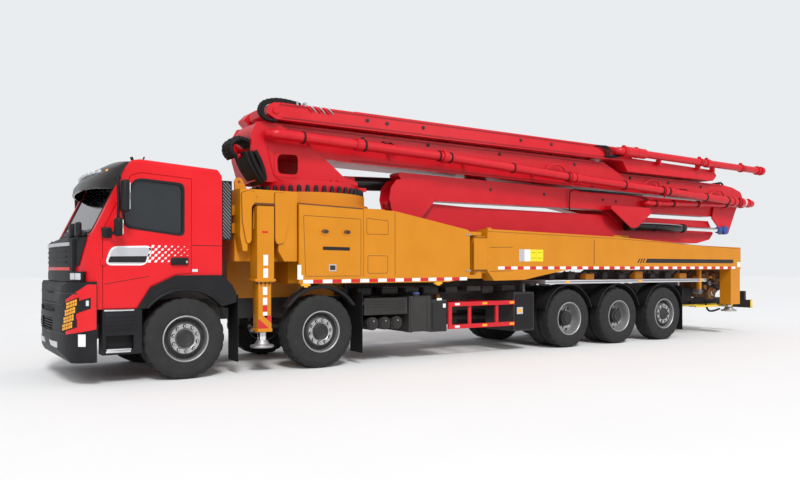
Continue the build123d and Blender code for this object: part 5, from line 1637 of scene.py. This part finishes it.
    def bow(self, points: Sequence[Point], count: int = 12) -> list[Point]:
        """Return frame points of a smooth curve through the given ones, whose X is from the front axle."""
        marks = [Vector(ahead(point)) for point in points]
        made = []
        spans = len(marks) - 1
        for k in range(count + 1):
            t = k / count * spans
            i = min(int(t), spans - 1)
            u = t - i
            p0, p1, p2, p3 = (marks[max(0, min(spans, i + j))] for j in (-1, 0, 1, 2))
            made.append(tuple(0.5 * (2 * p1 + (p2 - p0) * u + (2 * p0 - 5 * p1 + 4 * p2 - p3) * u ** 2
                + (3 * p1 - p0 - 3 * p2 + p3) * u ** 3)))
        return made

    def hose_arch(self) -> None:
        """Arch the hoses over the boom's front end."""
        pieces = []
        for y in (0.452, 0.482):
            for out in (0.0, 0.042):
                points = self.bow([(-2.02, y, 3.995), (-1.82, y, 4.0 + out * 0.6), (-1.6, y, 3.995 + out * 0.7),
                    (-1.45 + out * 0.8, y, 3.945 + out * 0.5), (-1.39 + out, y, 3.86), (-1.41 + out, y, 3.77),
                    (-1.49 + out * 0.5, y, 3.71), (-1.62, y, 3.7)], 20)
                pieces.append(self.ribbed(points, 0.024))
        pieces += [self.cube("rim_steel", (x - 0.02, 0.42, 3.97), (x + 0.02, 0.512, 4.035), 0.008)
            for x in (-1.96, -2.1)]
        for k in range(6):
            x = -2.12 - 0.075 * k
            pieces.append(self.tube("rim_steel" if k % 2 else "boom_red",
                [(x, 0.49, 3.99), (x - 0.03, 0.535, 3.95), (x - 0.09, 0.502, 3.9)], 0.013))
        self.shop.place(pieces, "boom_hose_arch", "boom_5_body", "cylinder_black")

    def hose_bundle(self) -> None:
        """Hang the hose bundle and its sleeve on the turret's front."""
        pieces = []
        for k in range(7):
            y = 0.04 + 0.048 * k
            points = self.bow([(-1.3, y, 3.32), (-1.2, y, 3.39), (-1.08, y, 3.4 + 0.02 * (k % 2)),
                (-0.965 + 0.02 * (k % 3), y, 3.31), (-0.97, y, 3.2), (-1.04, y, 3.13)], 12)
            pieces.append(self.ribbed(points, 0.034))
        flange = self.shop.rod((fa(-1.07), 0.3, 3.14), (fa(-1.36), 0.3, 3.24), 0.03, 14)
        pieces.append(self.shop.paint(flange, "boom_red"))
        for k in range(9):
            y = 0.08 + 0.38 * k / 8
            for run, radius in ((((-1.13, 1, 3.2), (-1.2, 1, 3.02), (-1.31, 0.95, 2.86), (-1.42, 0.9, 2.76)), 0.036),
                    (((-1.28, 1, 3.22), (-1.36, 1, 3.08), (-1.42, 1, 2.92), (-1.45, 0.95, 2.8)), 0.036),
                    (((-1.2, 1, 3.21), (-1.27, 1, 3.05), (-1.36, 1, 2.89), (-1.44, 0.95, 2.78)), 0.04)):
                points = self.bow([(x, y * share, z) for x, share, z in run], 8)
                pieces.append(self.shop.paint(self.shop.tube(points, radius), "hose_black"))
        self.shop.place(pieces, "turret_hose_bundle", slot="cylinder_black")

    def tip_hoses(self) -> None:
        """Hang hoses at the arms' rear and front joints."""
        front, rear = [], []
        for k in range(4):
            x, y = -8.62 - 0.05 * k, 0.505 + 0.012 * k
            points = self.bow([(x, y, 3.95), (x - 0.12, y + 0.03, 3.97), (x - 0.26, y + 0.04, 3.9),
                (x - 0.34, y + 0.03, 3.82), (x - 0.28, y, 3.76), (x - 0.5, y, 3.78), (x - 0.66, y, 3.86)], 14)
            front.append(self.shop.paint(self.shop.tube(points, 0.013), "hose_black"))
        for k in range(4):
            y = -0.1 + 0.1 * k
            x = -13.3 + 0.03 * k
            rear.append(self.shop.paint(self.shop.tube(self.bow([(x, y, 3.5), (x - 0.2, y, 3.54), (x - 0.3, y, 3.48),
                (x - 0.4, y, 3.38), (x - 0.6, y, 3.36)], 9), 0.022), "hose_black"))
        self.shop.place(front, "joint_hoses_front", "boom_5_body", "cylinder_black")
        self.shop.place(rear, "joint_hoses_rear", "boom_body", "cylinder_black")

    def cylinder(self) -> None:
        """Model the knee cylinder's barrel, rod and eye in place of the plain one."""
        shop, y = self.shop, 0.343
        low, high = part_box("boom_2_cylinder")
        z = (low[2] + high[2]) / 2
        x0, x1 = high[0], low[0]
        pieces = [shop.paint(shop.rod((x0 - 0.18, y, z), (x0 - 1.95, y, z), 0.088, 32, 0.01), "black_paint"),
            shop.paint(shop.rod((x0 - 1.9, y, z), (x0 - 2.0, y, z), 0.1, 32, 0.01), "black_paint"),
            shop.paint(shop.rod((x0 - 0.9, y, z), (x0 - 0.96, y, z), 0.096, 32, 0.006), "black_plastic"),
            shop.paint(shop.rod((x0 - 1.98, y, z), (x1 + 0.2, y, z), 0.05, 24), "chrome_rod"),
            shop.paint(shop.rod((x1 + 0.34, y, z), (x1 + 0.14, y, z), 0.075, 24, 0.01), "handle_blue")]
        pieces += [shop.paint(shop.rod((x, y - 0.1, z), (x, y + 0.1, z), 0.1, 28, 0.008),
            "black_paint" if x > x1 + 1 else "handle_blue") for x in (x0 - 0.12, x1 + 0.1)]
        pieces.append(shop.paint(shop.tube([(x0 - 0.3, y + 0.08, z + 0.06), (x0 - 0.6, y + 0.09, z + 0.07),
            (x0 - 1.7, y + 0.09, z + 0.07), (x0 - 1.85, y + 0.07, z + 0.05)], 0.013), "rim_steel"))
        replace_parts(shop.place(pieces, "knee_cylinder", "boom_body", "cylinder_black"), "boom_2_cylinder")

    def rest(self) -> None:
        """Stand the boom's rest on the deck."""
        shop, pieces = self.shop, []
        pieces += [shop.prism([(fa(-9.45), y, 1.3), (fa(-9.55), y, 2.15), (fa(-9.62), y, 2.17), (fa(-9.92), y, 2.17),
            (fa(-9.98), y, 2.15), (fa(-10.05), y, 1.3)], Vector((0, 0.03, 0)), 0.004) for y in (-0.16, 0.16)]
        pieces += [shop.cube((fa(-9.98), -0.25, 2.12), (fa(-9.52), 0.25, 2.17), 0.008),
            shop.cube((fa(-9.85), -0.13, 1.3), (fa(-9.65), 0.16, 2.13), 0.008)]
        shop.place([shop.paint(piece, "body_orange") for piece in pieces], "boom_rest", slot="body_orange")

    def webs(self) -> None:
        """Lay edge plates, a ring round a hollow and bolts on the turret cheeks."""
        shop, pieces = self.shop, []
        for side in Side:
            s = side.value
            run = [(fa(-1.5), s * 0.424, 3.3), (fa(-1.57), s * 0.424, 3.0), (fa(-1.62), s * 0.424, 2.86),
                (fa(-1.75), s * 0.424, 2.8), (fa(-2.2), s * 0.424, 2.79), (fa(-2.75), s * 0.424, 2.8)]
            pieces.append(shop.tube(run, 0.012))
            inner = [(fa(x), z) for x, z in rounded(((-1.66, 2.91), (-2.01, 2.91), (-2.01, 3.225), (-1.66, 3.205)),
                0.09, 5)]
            outer = [(fa(x), z) for x, z in rounded(((-1.61, 2.86), (-2.06, 2.86), (-2.06, 3.28), (-1.61, 3.255)), 0.09,
                5)]
            pieces.append(self.ring(inner, outer, s * 0.415, s * 0.428))
            pieces += [shop.rod((fa(x), s * 0.41, z), (fa(x), s * 0.45, z), 0.02, 12, 0.003)
                for x, z in ((-2.6, 2.86), (-2.72, 2.86))]
        shop.place([shop.paint(piece, "boom_red") for piece in pieces], "turret_edges", slot="boom_red")


@dataclass
class ChassisDress(Trim):
    """Fittings of the frame, the boxes, the deck and the rear."""

    axle_z: float = 0.535
    wing_radius: float = 0.628

    def build(self) -> None:
        """Build every piece of the chassis dress."""
        for side in Side:
            self.boxes(side)
            self.guards(side)
            self.deck(side)
            self.wings(side)
        self.under()
        self.rear()
        self.machine()

    def boxes(self, side: Side) -> None:
        """Dress the tanks and boxes between the second and third axles."""
        s, shop, pieces = side.value, self.shop, []
        y = 1.19
        for x in (-2.9, -3.12, -3.34):
            pieces += [self.rod("black_paint", (x, s * (y - 0.002), 0.61), (x, s * (y + 0.022), 0.61), 0.085, 32,
                0.012), self.rod("rim_steel", (x, s * (y + 0.02), 0.65), (x, s * (y + 0.036), 0.65), 0.012, 10)]
        pieces += [self.cube("chassis_black", (-2.78, s * (y - 0.01), 0.77 + k * 0.045),
            (-3.5, s * (y + 0.01), 0.785 + k * 0.045), 0.004) for k in range(5)]
        pieces += [self.cube("grille_grey", (x - 0.02, s * (y - 0.2), 0.44), (x + 0.02, s * (y + 0.008), 1.02), 0.006)
            for x in (-3.62, -3.95)]
        pieces += [self.rod("handle_blue", (-3.78, s * 1.08, 1.045), (-3.78, s * 1.08, 1.075), 0.062, 24, 0.008),
            self.patch(rounded([(-4.03, 0.46), (-4.03, 0.92), (-4.3, 0.92), (-4.3, 0.46)], 0.03), side, y,
            "black_paint", 0.012), self.tile(-4.12, -4.22, 0.94, 0.975, side, y, "reflective_white", 0.003),
            self.tile(-4.235, -4.29, 0.82, 0.885, side, y + 0.012, "reflective_white", 0.003),
            self.patch(rounded([(-5.82, 0.39), (-5.82, 1.01), (-6.24, 1.01), (-6.24, 0.39)], 0.04), side, y,
            "black_plastic", 0.01), self.tile(-5.84, -5.98, 0.66, 0.78, side, y + 0.01, "silver_trim", 0.02),
            self.tile(-5.87, -5.95, 0.69, 0.75, side, y + 0.03, "amber_lens", 0.004)]
        shop.place(pieces, f"box_fittings_{side.word}", slot="chassis_black")

    def guards(self, side: Side) -> None:
        """Dress the side guards with small marks."""
        pieces = []
        for z in (0.5, 0.87):
            pieces += [self.tile(x, x - 0.1, z - 0.018, z + 0.018, side, 1.23,
                "reflective_white" if x > -5 else "amber_lens", 0.002) for x in (-4.46, -5.05, -5.66)]
        self.shop.place(pieces, f"guard_marks_{side.word}", slot="boom_red")

    def deck(self, side: Side) -> None:
        """Dress the walkway with an edge rail and amber markers."""
        s, shop = side.value, self.shop
        pieces = [self.cube("silver_trim", (-6.51, s * 1.2, 1.176), (-11.29, s * 1.243, 1.244), 0.005),
            self.cube("grille_grey", (-6.5, s * 1.238, 1.205), (-11.3, s * 1.247, 1.217), 0.002)]
        pieces += [self.rod("amber_lens", (x - 0.055, s * 1.243, 1.21), (x + 0.055, s * 1.243, 1.21), 0.02, 12, 0.004)
            for x in (-7.06, -9.1, -11.1)]
        shop.place(pieces, f"deck_edge_{side.word}", slot="deck_aluminium")

    def wings(self, side: Side) -> None:
        """Dress the rear wings with rolled lips and wing sheets."""
        s, pieces = side.value, []
        for axle in (3, 4, 5):
            low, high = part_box(f"wheel_{axle}_{side.word}")
            x = (low[0] + high[0]) / 2
            points = []
            for k in range(17):
                angle = math.radians(18 + 144 * k / 16)
                points.append((x + self.wing_radius * math.cos(angle), s * 1.222,
                    self.axle_z + self.wing_radius * math.sin(angle)))
            pieces += [self.shop.paint(self.shop.tube(points, 0.012), "black_plastic"),
                self.shop.paint(self.strip_wall(points, s, 0.3), "black_plastic")]
        self.shop.place(pieces, f"wing_lips_{side.word}", slot="chassis_black")

    def strip_wall(self, points: Sequence[Point], s: float, width: float) -> Piece:
        """Make a curved wing sheet behind a lip."""
        verts, faces = [], []
        count = len(points)
        for lift in (0.0, 0.006):
            for x, y, z in points:
                verts += [(x, y, z + lift), (x, y - s * width, z + lift)]
        for k in range(count - 1):
            a = 2 * k
            b = a + 2 * count
            faces += [(a, a + 1, a + 3, a + 2), (b, b + 2, b + 3, b + 1), (a, a + 2, b + 2, b),
                (a + 1, b + 1, b + 3, a + 3)]
        end = 2 * (count - 1)
        faces += [(0, 2 * count, 2 * count + 1, 1), (end, end + 1, end + 1 + 2 * count, end + 2 * count)]
        return self.shop.solid(verts, faces, "wing")

    def under(self) -> None:
        """Hang shafts, springs and lines under the frame."""
        shop, pieces = self.shop, []
        pieces += [self.rod("chassis_black", (x0, 0, 0.62), (x1, 0, 0.56), 0.06, 20)
            for x0, x1 in ((-2.9, -6.2), (-7.0, -8.2))]
        for side in Side:
            s = side.value
            for x in (0.0, -1.995):
                for k in range(4):
                    points = [(fa(x + 0.62), s * 0.52, 0.78 + 0.016 * k), (fa(x + 0.2), s * 0.52, 0.66 + 0.016 * k),
                        (fa(x - 0.2), s * 0.52, 0.66 + 0.016 * k), (fa(x - 0.62), s * 0.52, 0.78 + 0.016 * k)]
                    pieces.append(shop.paint(shop.tube(points, 0.016, 3, 1), "chassis_black"))
            for k in range(3):
                z = 1.04 + 0.03 * k
                pieces.append(self.tube("hose_black",
                    [(-2.6, s * 0.52, z), (-5.0, s * 0.54, z + 0.02), (-8.0, s * 0.53, z)], 0.012, 3, 1))
            pieces.append(self.cube("chassis_black", (-2.72, s * 0.6, 1.01), (-6.45, s * 0.64, 1.245), 0.006))
            for k in range(8):
                x = -2.8 - 0.42 * k
                pieces.append(self.cube("chassis_black", (x, s * 0.66, 1.03 + 0.02 * (k % 3)),
                    (x - 0.26 - 0.05 * (k % 2), s * (0.9 + 0.05 * (k % 3)), 1.16), 0.02))
        shop.place(pieces, "under_fittings", slot="chassis_black")

    def droop(self, start: Point, end: Point, sag: float) -> list[Point]:
        """Return frame points of a hanging line between two points, whose X is from the front axle."""
        a, b = Vector(ahead(start)), Vector(ahead(end))
        return [tuple(a.lerp(b, k / 6) - Vector((0, 0, sag * math.sin(math.pi * k / 6)))) for k in range(7)]

    def rear(self) -> None:
        """Dress the rear bar with stripes, lamps and a blank plate."""
        shop, pieces = self.shop, []
        x = -13.1
        for k in range(20):
            y = -1.2 + 0.12 * k
            face = [(fa(x) - 0.001, y, 0.565), (fa(x) - 0.001, y + 0.12, 0.565), (fa(x) - 0.001, y + 0.12, 0.735),
                (fa(x) - 0.001, y, 0.735)]
            finish = "warning_yellow" if k % 2 else "black_paint"
            pieces.append(shop.paint(shop.prism(face, Vector((-0.003, 0, 0))), finish))
        for side in Side:
            s = side.value
            for k, finish in enumerate(("red_lens", "amber_lens", "clear_lens", "red_lens")):
                y = s * (0.82 + 0.062 * k)
                pieces.append(shop.paint(shop.cube((fa(x) - 0.022, y - 0.028, 0.765), (fa(x) + 0.03, y + 0.028, 0.915),
                    0.006), finish))
            pieces += [self.cube("warning_yellow", (-13.02, s * 1.196, 0.566), (-13.1, s * 1.204, 0.734), 0.001),
                self.rod("black_plastic", (-13.04, s * 0.9, 0.6), (-12.7, s * 0.9, 0.6), 0.02, 12)]
        pieces.append(shop.paint(shop.cube((fa(x) - 0.012, -0.26, 0.75), (fa(x), 0.26, 0.87), 0.003),
            "reflective_white"))
        tow = shop.tube([(fa(-12.2), 0.6, 0.72), (fa(-12.25), 0.6, 0.5), (fa(-12.5), 0.6, 0.46),
            (fa(-12.75), 0.6, 0.52)], 0.022)
        pieces.append(shop.paint(tow, "black_plastic"))
        pieces += [self.cube("warning_yellow", (-12.78, y - 0.05, 0.6), (-11.4, y - 0.01, 0.64), 0.004)
            for y in (0.52, 0.93)]
        shop.place(pieces, "rear_fittings", slot="chassis_black")

    def machine(self) -> None:
        """Dress the pump's rear with pipes, valves, hoses and posts."""
        shop, pieces = self.shop, []
        for side in Side:
            s = side.value
            pieces.append(self.cube("body_orange", (-11.36, s * 0.95, 1.0), (-11.44, s * 1.03, 1.46), 0.01))
            for k in range(5):
                x, z = -11.6 - 0.17 * k, 0.95 + 0.09 * (k % 3)
                pieces += [self.rod("pump_caked" if k % 2 else "engine_iron", (x, s * 0.72, z), (x, s * 0.9, z), 0.06,
                    18, 0.01), shop.paint(shop.tube(self.droop((x, s * 0.9, z + 0.1), (x - 0.34, s * 0.86, z + 0.2),
                    0.12), 0.022), "hose_black")]
            for k in range(6):
                x = -11.5 - 0.14 * k
                pieces.append(self.cube("body_orange" if k % 3 == 0 else "pump_caked",
                    (x, s * 0.76, 1.18 + 0.05 * (k % 2)), (x - 0.11, s * 0.9, 1.29 + 0.05 * (k % 3)), 0.012))
            points = self.droop((-12.2, s * 0.98, 1.44), (-12.42, s * 0.98, 1.2), -0.1)
            pieces += [shop.paint(shop.tube(points, 0.025), "hose_black"),
                self.rod("pump_caked", (-12.1, s * 0.72, 0.9), (-12.1, s * 0.84, 0.9), 0.14, 28, 0.02),
                self.rod("rim_steel", (-12.1, s * 0.83, 0.9), (-12.1, s * 0.87, 0.9), 0.07, 8, 0.01)]
        for k in range(9):
            x = -6.8 - 0.48 * k
            pieces += [self.cube(("chassis_black", "chassis_black", "body_orange")[k % 3], (x, 0.9, 1.245),
                (x - 0.14 - 0.05 * (k % 3), 1.05, 1.36 + 0.04 * (k % 2)), 0.012),
                shop.paint(shop.tube(self.droop((x - 0.1, 1.0, 1.4), (x - 0.45, 1.0, 1.4), 0.08), 0.02), "hose_black")]
        shop.place(pieces, "machine_fittings", slot="machine_grey")


def main() -> None:
    """Build the truck's dress in order."""
    finishes = Finishes()
    shop = Shop(finishes)
    Studio().build()
    Coats(finishes).build()
    WheelSet(shop).build()
    CabDress(shop).build()
    BodyDress(shop).build()
    BoomDress(shop).build()
    ChassisDress(shop).build()


if __name__ == "__main__":
    main()
